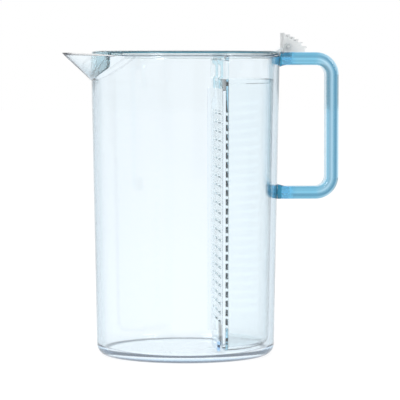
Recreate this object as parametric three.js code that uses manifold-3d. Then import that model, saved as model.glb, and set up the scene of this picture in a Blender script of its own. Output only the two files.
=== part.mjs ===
// Iced tea maker: a clear tapered jug with a V spout and a loop handle, and an insert that lifts
// out of it. The insert is a mouth ring that hangs a D-shaped strainer and carries a hinged lid
// with a ridged thumb lever. Millimetres, +Z up. The origin is on the jug's axis at its flat
// base, +X points to the handle and -X to the spout.

import * as THREE from 'three';
import { mergeVertices } from 'three/addons/utils/BufferGeometryUtils.js';
import Module from 'manifold-3d';

const wasm = await Module();
wasm.setup();

// Clearances
const seatGap = 0.3; // between faces that rest on or clip to each other
const hingeGap = 0.4; // between the lever, the lugs and the handle beside them
const slipGap = 0.5; // between the ring's skirt and the jug's wall
const liftGap = 1.2; // between the strainer and the jug's wall
const mouthGap = 0.8; // between the lid's shield and the spout's walls
const overrun = 6; // how far a cutting solid runs past what it cuts
const sink = 0.6; // how far a joined solid runs into what it joins

// Jug
const jugHeight = 230.1;
const rimRadius = 72.5;
const bodyTaper = 4.2; // how much narrower the base's radius is than the rim's
const wall = 3.4;
const floorThick = 4.6;
const baseEdge = 8;
const floorEdge = 5;
const rimEdge = 1.2;
const roundFacets = 96;
const edgeSteps = 4;

// Spout: two walls that run out of the round wall and meet in a nose
const spoutDrop = 19.4;
const spoutReach = 20.4;
const spoutRise = 2.3;
const spoutFloorRise = 0.5;
const spoutFlareShare = 1.33;
const spoutSteps = 6;
const noseAngle = THREE.MathUtils.degToRad(3.5);

// Handle
const handleRise = 2.7; // its top above the jug's rim
const handleReach = 45.6; // its outer face beyond the jug's rim
const handleThick = 9.9;
const handleWidth = 18;
const handleCorner = 3.9;
const handleBend = 12.6; // radius of the middle line at the two corners
const handleDrop = 113; // from its top to its underside
const handleFlare = 1.4; // how much deeper it is where it meets the wall
const flareLength = 6;
const handleRoot = 9; // how far the arms run inward before they are cut to the wall
const bendSteps = 7;
const flareSteps = 3;
const sectionFacets = 16;

// Pegs on the jug that sit in sockets in the handle's ends
const pegReach = 9.3;
const pegHeight = 3.8;
const pegWidth = 9;
const pegFacets = 20;

// Mouth ring
const flangeThick = 1.3;
const flangeInset = 0.2; // its edge inside the jug's outer face
const skirtThick = 2.2;
const skirtDepth = 2.2;
const ringMouthAngle = THREE.MathUtils.degToRad(45);

// Bar across the mouth ring, its legs and the hooked hangers
const barThick = 3;
const barHeight = 3;
const barDrop = 0.8; // its top below the jug's rim
const legWidth = 3;
const legInset = 0.8; // the legs inside the ends of the bar
const hangerSpread = 21; // distance of each hanger from the middle
const hangerWidth = 5;
const hangerThick = 1.7;
const hangerLap = 7.5; // how far its foot reaches down the screen's face
const hangerBarb = 1.8; // how far its hook comes down behind the bar
const hangerPeg = 2.8;

// Strainer
const partitionX = 26.1; // middle of the perforated screen
const strainerDrop = 17.5; // its top below the jug's rim
const strainerLift = 3.7; // its underside above the jug's floor
const strainerWall = 1.8;
const strainerFloor = 2;
const strainerEdge = 7;
const lipHeight = 3.5;
const lipProud = 0.5;
const screenThick = 1.8;
const slotPitch = 6.95;
const slotHeight = 2.8;
const slotRib = 4;
const slotColumns = 4;
const slotTopMargin = 26; // from the screen's top to its first row
const slotBottomMargin = 15;
const slotSideMargin = 5.5;

// Guides moulded inside the jug in front of the screen
const guideThick = 2.4;
const guideProud = 4;
const guideTopDrop = 8; // below the strainer's top
const guideFoot = 7; // above the jug's floor
const stopHeight = 7.5;
const stopWidth = 44;

// Lid
const lidThick = 1.8;
const lidInset = 0.4; // its edge inside the jug's outer face
const lidEdge = 3;
const ribThick = 1.8;
const ribDepth = 2;
const ribGap = 1.1; // between the lid's rib and the ring's skirt
const shieldThick = 4.3;
const shieldInset = 0.3;
const shieldDrop = 2; // its point below the spout's root
const shieldTopAngle = THREE.MathUtils.degToRad(33);
const shieldPointAngle = THREE.MathUtils.degToRad(4);
const shieldFullAt = 0.6; // the share of its height at which it is as wide as at the lid
const shieldRows = 8;
const shieldFacets = 10;

// Hinge
const pinOut = 5.5; // the pin beyond the jug's rim
const pinAbove = 4.2; // the pin above the handle's top
const pinRadius = 1.2;
const pinFacets = 24;
const lugThick = 3;
const lugRadius = 2.9;
const lugFoot = 4.6;

// Thumb lever
const cheekThick = 2;
const fanOut = 0.6; // the fan's centre beyond the pin
const fanBelow = 2.7; // the fan's centre below the pin
const fanRadius = 10.8; // to the ridges in the middle
const fanSwell = 3.2; // how much further out the end ridges are
const ridgeDepth = 2.4;
const ridgeCount = 6;
const bridgedRidges = 4; // the ridges that cross from cheek to cheek
const fanStart = THREE.MathUtils.degToRad(107);
const fanEnd = THREE.MathUtils.degToRad(11);
const skinThick = 1.8;
const postThick = 1.8;
const tongueThick = 1.7;
const tongueLap = 12;
const tongueRise = 2.6;
const tongueStep = 2; // thickness of the upright between the tongue's two levels

// Levels and places that follow from the sizes above
const baseRadius = rimRadius - bodyTaper;
const flangeBottom = jugHeight + seatGap;
const flangeTop = flangeBottom + flangeThick;
const lidBottom = flangeTop + seatGap;
const lidTop = lidBottom + lidThick;
const lidRadius = rimRadius - lidInset;
const handleTop = jugHeight + handleRise;
const upperArm = handleTop - handleThick / 2;
const lowerArm = handleTop - handleDrop + handleThick / 2;
const pinX = rimRadius + pinOut;
const pinZ = handleTop + pinAbove;
const spoutRoot = jugHeight - spoutDrop;
const spoutSlope = spoutReach / spoutDrop;
const strainerTop = jugHeight - strainerDrop;
const strainerBottom = floorThick + strainerLift;
const skirtOuter = rimRadius - wall - slipGap;
const skirtInner = skirtOuter - skirtThick;
const ribOuter = skirtInner - ribGap;
const barTop = jugHeight - barDrop;
const barBottom = barTop - barHeight;
const screenFront = partitionX - screenThick / 2;
const screenBack = partitionX + screenThick / 2;
const cheekInner = handleWidth / 2 + hingeGap;
const cheekOuter = cheekInner + cheekThick;
const lugInner = cheekOuter + hingeGap;
const lugOuter = lugInner + lugThick;
const pinHole = pinRadius + seatGap;
const tongueHalf = handleWidth / 2 - seatGap;
const uprightBack = halfChord(skirtInner, tongueHalf) - slipGap;
const uprightFront = uprightBack - tongueStep;
const notchFront = uprightFront - seatGap; // the lid's notch clears the tongue's upright

const clearPlastic = { color: 0xe6f2f6, roughness: 0.06, metalness: 0 };
const bluePlastic = { color: 0x86c5e2, roughness: 0.07, metalness: 0 };
const lidPlastic = { color: 0xa9d3e4, roughness: 0.08, metalness: 0 };
const palePlastic = { color: 0xe3e8ee, roughness: 0.16, metalness: 0 };

// Turns a geometry into a solid: only positions stay, and vertices in one place are merged.
function solidOf(geometry) {
  geometry.deleteAttribute('normal');
  geometry.deleteAttribute('uv');
  const merged = mergeVertices(geometry);
  return new wasm.Manifold(new wasm.Mesh({
    numProp: 3,
    vertProperties: new Float32Array(merged.attributes.position.array),
    triVerts: new Uint32Array(merged.index.array),
  }));
}

// Turns a solid back into a geometry.
function geometryOf(solid) {
  const result = solid.getMesh();
  const geometry = new THREE.BufferGeometry();
  geometry.setAttribute('position', new THREE.BufferAttribute(result.vertProperties, 3));
  geometry.setIndex(new THREE.BufferAttribute(result.triVerts, 1));
  geometry.computeVertexNormals();
  return geometry;
}

// Skins a row of rings that all have the same number of points, and closes each end with a fan
// about the middle of the end ring. The rings run anticlockwise about the way the row goes.
function loft(rings) {
  const count = rings[0].length;
  const points = rings.flat();
  const faces = [];
  for (let row = 0; row + 1 < rings.length; row += 1) {
    for (let i = 0; i < count; i += 1) {
      const next = (i + 1) % count;
      const [a, b] = [row * count + i, row * count + next];
      const [c, d] = [a + count, b + count];
      faces.push(a, b, d, a, d, c);
    }
  }
  for (const end of [0, rings.length - 1]) {
    const middle = new THREE.Vector3();
    rings[end].forEach((point) => middle.addScaledVector(point, 1 / count));
    const pole = points.push(middle) - 1;
    for (let i = 0; i < count; i += 1) {
      const [a, b] = [end * count + i, end * count + ((i + 1) % count)];
      if (end === 0) faces.push(pole, b, a);
      else faces.push(pole, a, b);
    }
  }
  const geometry = new THREE.BufferGeometry().setFromPoints(points);
  geometry.setIndex(faces);
  return geometry;
}

// Turns a profile of [radius, height] points about the jug's axis. The profile runs so that the
// material is on its left.
function turned(profile) {
  const points = profile.map(([radius, height]) => new THREE.Vector2(radius, height));
  const geometry = new THREE.LatheGeometry(points, roundFacets);
  return solidOf(geometry.rotateX(Math.PI / 2));
}

// Extrudes an outline of [x, z] points along Y, from one side to the other.
function plateAlongY(outline, from, to, holes = []) {
  const shape = new THREE.Shape(outline.map(([x, z]) => new THREE.Vector2(x, z)));
  shape.holes = holes;
  const geometry = new THREE.ExtrudeGeometry(shape, { depth: to - from, bevelEnabled: false });
  geometry.rotateX(Math.PI / 2);
  geometry.translate(0, to, 0);
  return solidOf(geometry);
}

// Extrudes an outline of [y, z] points along X, from one face to the other.
function plateAlongX(outline, from, to, holes = []) {
  const shape = new THREE.Shape(outline.map(([y, z]) => new THREE.Vector2(y, z)));
  shape.holes = holes;
  const geometry = new THREE.ExtrudeGeometry(shape, { depth: to - from, bevelEnabled: false });
  const [x, y, z] = [0, 1, 2].map((k) => new THREE.Vector3().setComponent(k, 1));
  geometry.applyMatrix4(new THREE.Matrix4().makeBasis(y, z, x));
  geometry.translate(from, 0, 0);
  return solidOf(geometry);
}

// A box between two corners.
function block(low, high) {
  const size = high.map((value, k) => value - low[k]);
  const geometry = new THREE.BoxGeometry(...size);
  geometry.translate(...high.map((value, k) => (value + low[k]) / 2));
  return solidOf(geometry);
}

function circleHole(x, y, radius) {
  return new THREE.Path(Array.from({ length: pinFacets }, (_, i) => {
    const angle = (i * 2 * Math.PI) / pinFacets;
    return new THREE.Vector2(x + radius * Math.cos(angle), y + radius * Math.sin(angle));
  }));
}

function smooth(value) {
  return THREE.MathUtils.smoothstep(value, 0, 1);
}

// Radius of the jug's round wall at a height.
function outerRound(height) {
  return THREE.MathUtils.mapLinear(height, 0, jugHeight, baseRadius, rimRadius);
}

function innerRound(height) {
  return outerRound(height) - wall;
}

// Distance of the spout's nose line from the axis at a height.
function outerNose(height) {
  return outerRound(height) + spoutSlope * Math.max(0, height - spoutRoot);
}

function innerNose(height) {
  return innerRound(height) + spoutSlope * Math.max(0, height - spoutRoot - spoutFloorRise);
}

// Radius of the wall at an angle from the nose. Tangents run from the nose to the round wall,
// and the flare share lets them reach further round it.
function wallRadius(round, nose, angle) {
  const tangent = Math.acos(Math.min(1, round / nose));
  const turn = Math.hypot(angle, noseAngle) - noseAngle;
  return round / Math.cos(Math.max(0, tangent - turn / spoutFlareShare));
}

// Largest angle from the nose at which a radius still clears the spout's inner wall.
function mouthHalfAngle(radius, height) {
  const round = innerRound(height);
  const tangent = Math.acos(Math.min(1, round / innerNose(height)));
  const limit = Math.acos(Math.min(1, round / (radius + mouthGap)));
  const turn = spoutFlareShare * Math.max(0, tangent - limit);
  return Math.sqrt((turn + noseAngle) ** 2 - noseAngle ** 2);
}

// A point at a radius and height, at an angle from the spout's direction.
function spoutPoint(radius, angle, height) {
  return new THREE.Vector3(-radius * Math.cos(angle), -radius * Math.sin(angle), height);
}

// One ring of the jug. The spout's rows rise toward the nose, and the rim follows them.
function jugRing(height, roundAt, noseAt, inset) {
  const mouthAngle = spoutFlareShare * Math.acos(rimRadius / outerNose(jugHeight)) + noseAngle;
  const share = THREE.MathUtils.clamp((height - spoutRoot) / spoutDrop, 0, 1);
  return Array.from({ length: roundFacets }, (_, i) => {
    const angle = -Math.PI + (i * 2 * Math.PI) / roundFacets;
    const lift = share * spoutRise * smooth(1 - Math.abs(angle) / mouthAngle);
    const radius = wallRadius(roundAt(height + lift), noseAt(height + lift), angle);
    return spoutPoint(radius + inset, angle, height + lift);
  });
}

function jugShell() {
  const outer = (height, inset) => jugRing(height, outerRound, outerNose, inset);
  const inner = (height, inset) => jugRing(height, innerRound, innerNose, inset);
  const rings = [outer(0, -baseEdge)];
  for (let i = 1; i <= edgeSteps; i += 1) {
    const angle = (i / edgeSteps) * (Math.PI / 2);
    rings.push(outer(baseEdge * (1 - Math.cos(angle)), baseEdge * (Math.sin(angle) - 1)));
  }
  const rimStart = spoutDrop - rimEdge;
  for (let i = 0; i <= spoutSteps; i += 1) {
    rings.push(outer(spoutRoot + rimStart * (i / spoutSteps) ** 2, 0));
  }
  rings.push(outer(jugHeight - rimEdge * (1 - Math.SQRT1_2), rimEdge * (Math.SQRT1_2 - 1)));
  rings.push(outer(jugHeight, -rimEdge));
  rings.push(inner(jugHeight, Math.min(rimEdge, wall / 4)));
  for (let i = spoutSteps; i >= 0; i -= 1) {
    const share = (i / spoutSteps) ** 2;
    rings.push(inner(spoutRoot + spoutFloorRise + (rimStart - spoutFloorRise) * share, 0));
  }
  for (let i = edgeSteps; i >= 0; i -= 1) {
    const angle = (i / edgeSteps) * (Math.PI / 2);
    const height = floorThick + floorEdge * (1 - Math.cos(angle));
    rings.push(inner(height, floorEdge * (Math.sin(angle) - 1)));
  }
  return solidOf(loft(rings));
}

// Half the width of a circle at a distance from its middle.
function halfChord(radius, distance) {
  return Math.sqrt(radius ** 2 - distance ** 2);
}

// Ribs on the jug's wall that hold the screen's edges back, and a stop on its floor.
function jugGuides() {
  const back = screenFront - seatGap;
  const front = back - guideThick;
  const top = strainerTop - guideTopDrop;
  const foot = floorThick + guideFoot;
  const edgeAt = (height) => halfChord(innerRound(height), front);
  const outline = [
    [edgeAt(foot) - guideProud, foot],
    [edgeAt(foot) + sink, foot],
    [edgeAt(top) + sink, top],
    [edgeAt(top) - guideProud, top],
  ];
  const rib = plateAlongX(outline, front, back);
  const stop = block(
    [front, -stopWidth / 2, floorThick - sink],
    [back, stopWidth / 2, floorThick + stopHeight],
  );
  return rib.add(rib.mirror([0, 1, 0])).add(stop);
}

// An oval peg that points away from the jug, or its socket when it is grown by a gap.
function peg(height, gap) {
  const start = outerRound(height) - wall / 2;
  const end = outerRound(height) + pegReach + gap;
  const geometry = new THREE.CylinderGeometry(1, 1, 1, pegFacets);
  geometry.rotateZ(-Math.PI / 2);
  geometry.scale(end - start, pegWidth / 2 + gap, pegHeight / 2 + gap);
  geometry.translate((start + end) / 2, 0, height);
  return solidOf(geometry);
}

function jugBody() {
  return jugShell().add(jugGuides()).add(peg(upperArm, 0)).add(peg(lowerArm, 0));
}

// Stations along the handle's middle line: place, heading and how much the root flare adds.
function handleStations() {
  const right = rimRadius + handleReach - handleThick / 2;
  const upper = [{ x: rimRadius - handleRoot, flare: handleFlare }];
  for (let i = 0; i <= flareSteps; i += 1) {
    const share = i / flareSteps;
    upper.push({ x: rimRadius + flareLength * share, flare: handleFlare * (1 - share) ** 2 });
  }
  const arm = (height, heading, list) => list.map(({ x, flare }) => ({ x, z: height, heading, flare }));
  const bend = (height, first) => Array.from({ length: bendSteps + 1 }, (_, i) => {
    const heading = first - (i / bendSteps) * (Math.PI / 2);
    const x = right - handleBend - handleBend * Math.sin(heading);
    return { x, z: height + handleBend * Math.cos(heading), heading, flare: 0 };
  });
  return [
    ...arm(upperArm, 0, upper),
    ...bend(upperArm - handleBend, 0),
    ...bend(lowerArm + handleBend, -Math.PI / 2),
    ...arm(lowerArm, -Math.PI, upper.reverse()),
  ];
}

// The rounded section at a station: its corners are arcs, and the flare deepens its inner side.
function handleRing({ x, z, heading, flare }) {
  const outward = new THREE.Vector3(-Math.sin(heading), 0, Math.cos(heading));
  return Array.from({ length: sectionFacets }, (_, i) => {
    const angle = ((i + 0.5) * 2 * Math.PI) / sectionFacets;
    const [c, s] = [Math.cos(angle), Math.sin(angle)];
    const flat = handleThick / 2 - handleCorner + (c < 0 ? flare : 0);
    const side = handleWidth / 2 - handleCorner;
    const point = new THREE.Vector3(x, -(Math.sign(s) * side + handleCorner * s), z);
    return point.addScaledVector(outward, Math.sign(c) * flat + handleCorner * c);
  });
}

// The loop, cut to the jug's wall and bored for the two pegs.
function handleLoop() {
  const high = handleTop + overrun;
  const jug = turned([
    [0, 0],
    [outerRound(0) + seatGap, 0],
    [outerRound(high) + seatGap, high],
    [0, high],
  ]);
  const loop = solidOf(loft(handleStations().map(handleRing)));
  return loop.subtract(jug).subtract(peg(upperArm, seatGap)).subtract(peg(lowerArm, seatGap));
}

// Flange on the jug's rim and skirt inside it, open at the spout.
function ringCollar() {
  const outer = rimRadius - flangeInset;
  const skirtBottom = jugHeight - skirtDepth;
  const collar = turned([
    [skirtInner, skirtBottom],
    [skirtOuter, skirtBottom],
    [skirtOuter, flangeBottom],
    [outer, flangeBottom],
    [outer, flangeTop - flangeThick / 2],
    [outer - flangeThick / 2, flangeTop],
    [skirtInner, flangeTop],
    [skirtInner, skirtBottom],
  ]);
  const reach = rimRadius + overrun;
  const wide = reach * Math.tan(ringMouthAngle);
  const corners = [[0, 0], [-reach, -wide], [-reach, wide]];
  const wedge = new THREE.Shape(corners.map(([x, y]) => new THREE.Vector2(x, y)));
  const depth = flangeTop - skirtBottom + 2 * overrun;
  const mouth = new THREE.ExtrudeGeometry(wedge, { depth, bevelEnabled: false });
  mouth.translate(0, 0, skirtBottom - overrun);
  return collar.subtract(solidOf(mouth));
}

// Bar across the ring, with a leg at each end that stands over the strainer's rim.
function ringBar() {
  const [front, back] = [partitionX - barThick / 2, partitionX + barThick / 2];
  const end = halfChord((skirtOuter + skirtInner) / 2, back);
  const legEnd = halfChord(skirtInner, back) - legInset;
  const bar = block([front, -end, barBottom], [back, end, barTop]);
  const legBottom = strainerTop + seatGap;
  const leg = block([front, legEnd - legWidth, legBottom], [back, legEnd, barBottom + sink]);
  return bar.add(leg).add(leg.mirror([0, 1, 0]));
}

// Pads inside the ring's rear and the lugs on them that carry the hinge pin.
function ringLugs() {
  const wideAt = lugOuter + hingeGap;
  const padEnd = halfChord(skirtOuter, wideAt);
  const pad = block([uprightFront, cheekInner, flangeBottom], [padEnd, wideAt, flangeTop]);
  const footEnd = halfChord(rimRadius - flangeInset, lugOuter);
  const arc = Array.from({ length: pinFacets / 2 + 1 }, (_, i) => {
    const angle = -Math.PI / 4 + (i * 2 * Math.PI) / pinFacets;
    return [pinX + lugRadius * Math.cos(angle), pinZ + lugRadius * Math.sin(angle)];
  });
  const outline = [[footEnd - lugFoot, flangeBottom], [footEnd, flangeBottom], ...arc];
  const lug = plateAlongY(outline, lugInner, lugOuter, [circleHole(pinX, pinZ, pinHole)]);
  const side = pad.add(lug);
  return side.add(side.mirror([0, 1, 0]));
}

function mouthRing() {
  return ringCollar().add(ringBar()).add(ringLugs());
}

// A strap that hooks over the bar, comes down in line with the screen and pegs into its top.
function hanger(side) {
  const [barFront, barBack] = [partitionX - barThick / 2, partitionX + barThick / 2];
  const hookFront = barFront - seatGap - hangerThick;
  const hookBack = barBack + seatGap + hangerThick;
  const hookTop = barTop + seatGap + hangerThick;
  const shoulder = barBottom - seatGap;
  const lapBack = screenFront - seatGap;
  const lapFront = lapBack - hangerThick;
  const lapTop = strainerTop + seatGap;
  const outline = [
    [lapFront, strainerTop - hangerLap],
    [lapBack, strainerTop - hangerLap],
    [lapBack, lapTop],
    [screenBack, lapTop],
    [screenBack, shoulder],
    [barFront - seatGap, shoulder],
    [barFront - seatGap, barTop + seatGap],
    [barBack + seatGap, barTop + seatGap],
    [barBack + seatGap, barTop - hangerBarb],
    [hookBack, barTop - hangerBarb],
    [hookBack, hookTop],
    [hookFront, hookTop],
    [hookFront, shoulder - hangerThick],
    [screenFront, shoulder - 2 * hangerThick],
    [screenFront, lapTop + hangerThick],
    [lapFront, lapTop],
  ];
  const middle = side * hangerSpread;
  const strap = plateAlongY(outline, middle - hangerWidth / 2, middle + hangerWidth / 2);
  const pegLength = screenThick + seatGap + sink;
  const pegShape = new THREE.CylinderGeometry(hangerPeg / 2, hangerPeg / 2, pegLength, sectionFacets);
  pegShape.rotateZ(-Math.PI / 2);
  pegShape.translate(lapBack - sink + pegLength / 2, middle, strainerTop - hangerLap / 2);
  return strap.add(solidOf(pegShape));
}

// Outer radius of the strainer at a height: it keeps the lift gap to the jug's wall.
function strainerRound(height) {
  return innerRound(height) - liftGap;
}

// A tapered cup with a floor and a thicker lip, of which the part behind the screen is kept.
function strainerShell() {
  const top = strainerTop;
  const bottom = strainerBottom;
  const round = (i, radius, low, edge) => {
    const angle = (i / edgeSteps) * (Math.PI / 2);
    return [radius - edge * (1 - Math.sin(angle)), low + edge * (1 - Math.cos(angle))];
  };
  const steps = Array.from({ length: edgeSteps + 1 }, (_, i) => i);
  const outerAt = strainerRound(bottom + strainerEdge);
  const innerEdge = strainerEdge - strainerWall;
  const innerLow = bottom + strainerFloor;
  const innerAt = strainerRound(innerLow + innerEdge) - strainerWall;
  const cup = turned([
    [0, bottom],
    ...steps.map((i) => round(i, outerAt, bottom, strainerEdge)),
    [strainerRound(top - lipHeight), top - lipHeight],
    [strainerRound(top) + lipProud, top - lipHeight + lipProud],
    [strainerRound(top) + lipProud, top],
    [strainerRound(top) - strainerWall, top],
    ...steps.map((i) => round(i, innerAt, innerLow, innerEdge)).reverse(),
    [0, innerLow],
  ]);
  const cut = screenBack + seatGap;
  const reach = rimRadius + overrun;
  return cup.intersect(block([cut, -reach, -overrun], [reach, reach, jugHeight]));
}

// Flat screen across the front of the strainer, with rows of slots and two peg holes.
function strainerScreen() {
  const half = (height) => halfChord(strainerRound(height), screenFront);
  const corner = Array.from({ length: edgeSteps + 1 }, (_, i) => {
    const angle = (i / edgeSteps) * (Math.PI / 2);
    const side = half(strainerBottom + strainerEdge) - strainerEdge * (1 - Math.sin(angle));
    return [side, strainerBottom + strainerEdge * (1 - Math.cos(angle))];
  });
  const rightSide = [...corner, [half(strainerTop), strainerTop]];
  const outline = [...rightSide, ...rightSide.map(([y, z]) => [-y, z]).reverse()];
  const firstRow = strainerTop - slotTopMargin;
  const rows = Math.floor((firstRow - strainerBottom - slotBottomMargin) / slotPitch) + 1;
  const usable = 2 * (half(strainerBottom + slotBottomMargin) - slotSideMargin);
  const slotWidth = (usable - slotRib * (slotColumns - 1)) / slotColumns;
  let plate = plateAlongX(outline, screenFront, screenBack);
  for (let row = 0; row < rows; row += 1) {
    const low = firstRow - row * slotPitch - slotHeight / 2;
    for (let column = 0; column < slotColumns; column += 1) {
      const left = -usable / 2 + column * (slotWidth + slotRib);
      plate = plate.subtract(block(
        [screenFront - overrun, left, low],
        [screenBack + overrun, left + slotWidth, low + slotHeight],
      ));
    }
  }
  const boreAt = strainerTop - hangerLap / 2;
  const bores = [-1, 1].map((side) => {
    const radius = hangerPeg / 2 + seatGap;
    const bore = new THREE.CylinderGeometry(radius, radius, screenThick + overrun, sectionFacets);
    bore.rotateZ(-Math.PI / 2);
    bore.translate(partitionX, side * hangerSpread, boreAt);
    return solidOf(bore);
  });
  return plate.subtract(bores[0]).subtract(bores[1]);
}

// Shield under the lid's front that stands in the spout's mouth and narrows to a point.
function lidShield() {
  const outer = lidRadius - shieldInset;
  const inner = outer - shieldThick;
  const bottom = spoutRoot - shieldDrop;
  const top = lidBottom + lidThick / 2;
  const rings = Array.from({ length: shieldRows + 1 }, (_, row) => {
    const share = row / shieldRows;
    const height = bottom + (top - bottom) * share;
    const rise = Math.min(height, jugHeight);
    const spread = smooth(share / shieldFullAt);
    const half = shieldPointAngle + (shieldTopAngle - shieldPointAngle) * spread;
    const radius = Math.min(outer, innerNose(rise) - mouthGap);
    const outerHalf = Math.min(half, Math.max(shieldPointAngle / 2, mouthHalfAngle(radius, rise)));
    const arc = (at, from, to) => Array.from({ length: shieldFacets + 1 }, (_, i) => (
      spoutPoint(at, from + ((to - from) * i) / shieldFacets, height)
    ));
    return [...arc(radius, -outerHalf, outerHalf), ...arc(inner, half, -half)];
  });
  return solidOf(loft(rings));
}

// Round plate with a shallow rib that locates it in the ring, and a notch for the hinge.
function lidPlate() {
  const edge = Array.from({ length: edgeSteps + 1 }, (_, i) => {
    const angle = (i / edgeSteps) * (Math.PI / 2);
    return [lidRadius - lidEdge * (1 - Math.cos(angle)), lidBottom + lidThick * Math.sin(angle)];
  });
  const ribBottom = lidBottom - ribDepth;
  const plate = turned([
    [0, lidBottom],
    [ribOuter - ribThick, lidBottom],
    [ribOuter - ribThick, ribBottom],
    [ribOuter, ribBottom],
    [ribOuter, lidBottom],
    ...edge,
    [0, lidTop],
  ]);
  const half = lugOuter + 2 * hingeGap + seatGap;
  const reach = rimRadius + overrun;
  const notch = block([notchFront, -half, ribBottom - overrun], [reach, half, lidTop + overrun]);
  const ribBreak = block([notchFront - overrun, -half, ribBottom - overrun], [reach, half, lidBottom]);
  return plate.subtract(notch).subtract(ribBreak).add(lidShield());
}

// Distance of a ridge or valley from the fan's centre: the fan swells toward both ends.
function fanReach(angle, depth) {
  const middle = (fanStart + fanEnd) / 2;
  const share = (angle - middle) / (fanStart - middle);
  return fanRadius + fanSwell * share ** 2 - depth;
}

function fanPoint(angle, depth) {
  const reach = fanReach(angle, depth);
  return [pinX + fanOut + reach * Math.cos(angle), pinZ - fanBelow + reach * Math.sin(angle)];
}

// The ridged edge, from the front ridge down to the toe: each ridge is a blunt tooth.
function ridgedEdge(count) {
  const pitch = (fanStart - fanEnd) / (ridgeCount - 1);
  const points = [];
  for (let i = 0; i < count; i += 1) {
    const middle = fanStart - i * pitch;
    if (i > 0) points.push(fanPoint(middle + pitch / 3, ridgeDepth));
    points.push(fanPoint(middle + (i > 0 ? pitch / 8 : 0), 0), fanPoint(middle - pitch / 8, 0));
    points.push(fanPoint(middle - pitch / 3, ridgeDepth));
  }
  return points;
}

// Two cheeks that come down beside the handle, a ridged skin between them, a front post and a
// tongue that laps under the lid.
function thumbLever() {
  const frontX = fanPoint(fanStart, 0)[0];
  const edge = ridgedEdge(ridgeCount);
  const toe = edge[edge.length - 1];
  const outline = [[frontX, handleTop], ...edge, [toe[0], handleTop]];
  const cheek = plateAlongY(outline, cheekInner, cheekOuter, [circleHole(pinX, pinZ, pinHole)]);

  const bridged = ridgedEdge(bridgedRidges);
  const pitch = (fanStart - fanEnd) / (ridgeCount - 1);
  const last = fanStart - (bridgedRidges - 1) * pitch - pitch / 3;
  const inside = Array.from({ length: bridgedRidges + 1 }, (_, i) => (
    fanPoint(last + ((fanStart - last) * i) / bridgedRidges, ridgeDepth + skinThick)
  ));
  const skin = plateAlongY([...bridged, ...inside], -cheekInner - sink, cheekInner + sink);

  const postBottom = handleTop + hingeGap;
  const postTop = fanPoint(fanStart, ridgeDepth)[1];
  const post = block([frontX, -cheekOuter, postBottom], [frontX + postThick, cheekOuter, postTop]);

  const lapTop = lidBottom - seatGap;
  const tongue = plateAlongY([
    [uprightFront - tongueLap, lapTop - tongueThick],
    [uprightBack, lapTop - tongueThick],
    [uprightBack, lidBottom],
    [rimRadius - tongueStep, lidBottom],
    [rimRadius, postBottom],
    [frontX + postThick, postBottom],
    [frontX + postThick, postBottom + tongueRise],
    [frontX, postBottom + tongueRise],
    [rimRadius - tongueStep, lidTop],
    [uprightFront, lidTop],
    [uprightFront, lapTop],
    [uprightFront - tongueLap, lapTop],
  ], -tongueHalf, tongueHalf);
  return cheek.add(cheek.mirror([0, 1, 0])).add(skin).add(post).add(tongue);
}

function hingePin() {
  const length = 2 * (lugOuter + seatGap);
  const geometry = new THREE.CylinderGeometry(pinRadius, pinRadius, length, pinFacets);
  geometry.translate(pinX, 0, 0);
  return geometry;
}

function piece(name, geometry, finish) {
  const mesh = new THREE.Mesh(geometry, new THREE.MeshStandardMaterial(finish));
  mesh.name = name;
  return mesh;
}

const pin = piece('hinge_pin', hingePin(), clearPlastic);
pin.position.set(0, 0, pinZ);

const lid = new THREE.Group();
lid.add(
  piece('lid_plate', geometryOf(lidPlate()), lidPlastic),
  piece('thumb_lever', geometryOf(thumbLever()), palePlastic),
);

const insert = new THREE.Group();
insert.add(
  piece('mouth_ring', geometryOf(mouthRing()), clearPlastic),
  piece('hanger_left', geometryOf(hanger(-1)), clearPlastic),
  piece('hanger_right', geometryOf(hanger(1)), clearPlastic),
  piece('strainer_shell', geometryOf(strainerShell()), clearPlastic),
  piece('strainer_screen', geometryOf(strainerScreen()), clearPlastic),
  pin,
  lid,
);

const model = new THREE.Group();
model.add(
  piece('jug_body', geometryOf(jugBody()), clearPlastic),
  piece('handle', geometryOf(handleLoop()), bluePlastic),
  insert,
);

export default model;
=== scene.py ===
# %% [markdown]
# # Dressing an iced tea maker
#
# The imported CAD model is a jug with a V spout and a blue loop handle, and an insert that lifts out
# of it: a mouth ring, a strainer and a hinged lid with a ridged thumb lever. It is all clear
# plastic, so a render shows every facet twice, once on each face of a wall. This lesson keeps the
# CAD model as a fixed frame and builds a finer surface over each of its ten pieces, then gives
# them tinted, slightly worn plastics, a pale floor and soft studio light.

# %% Load the frame
from collections import namedtuple

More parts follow.
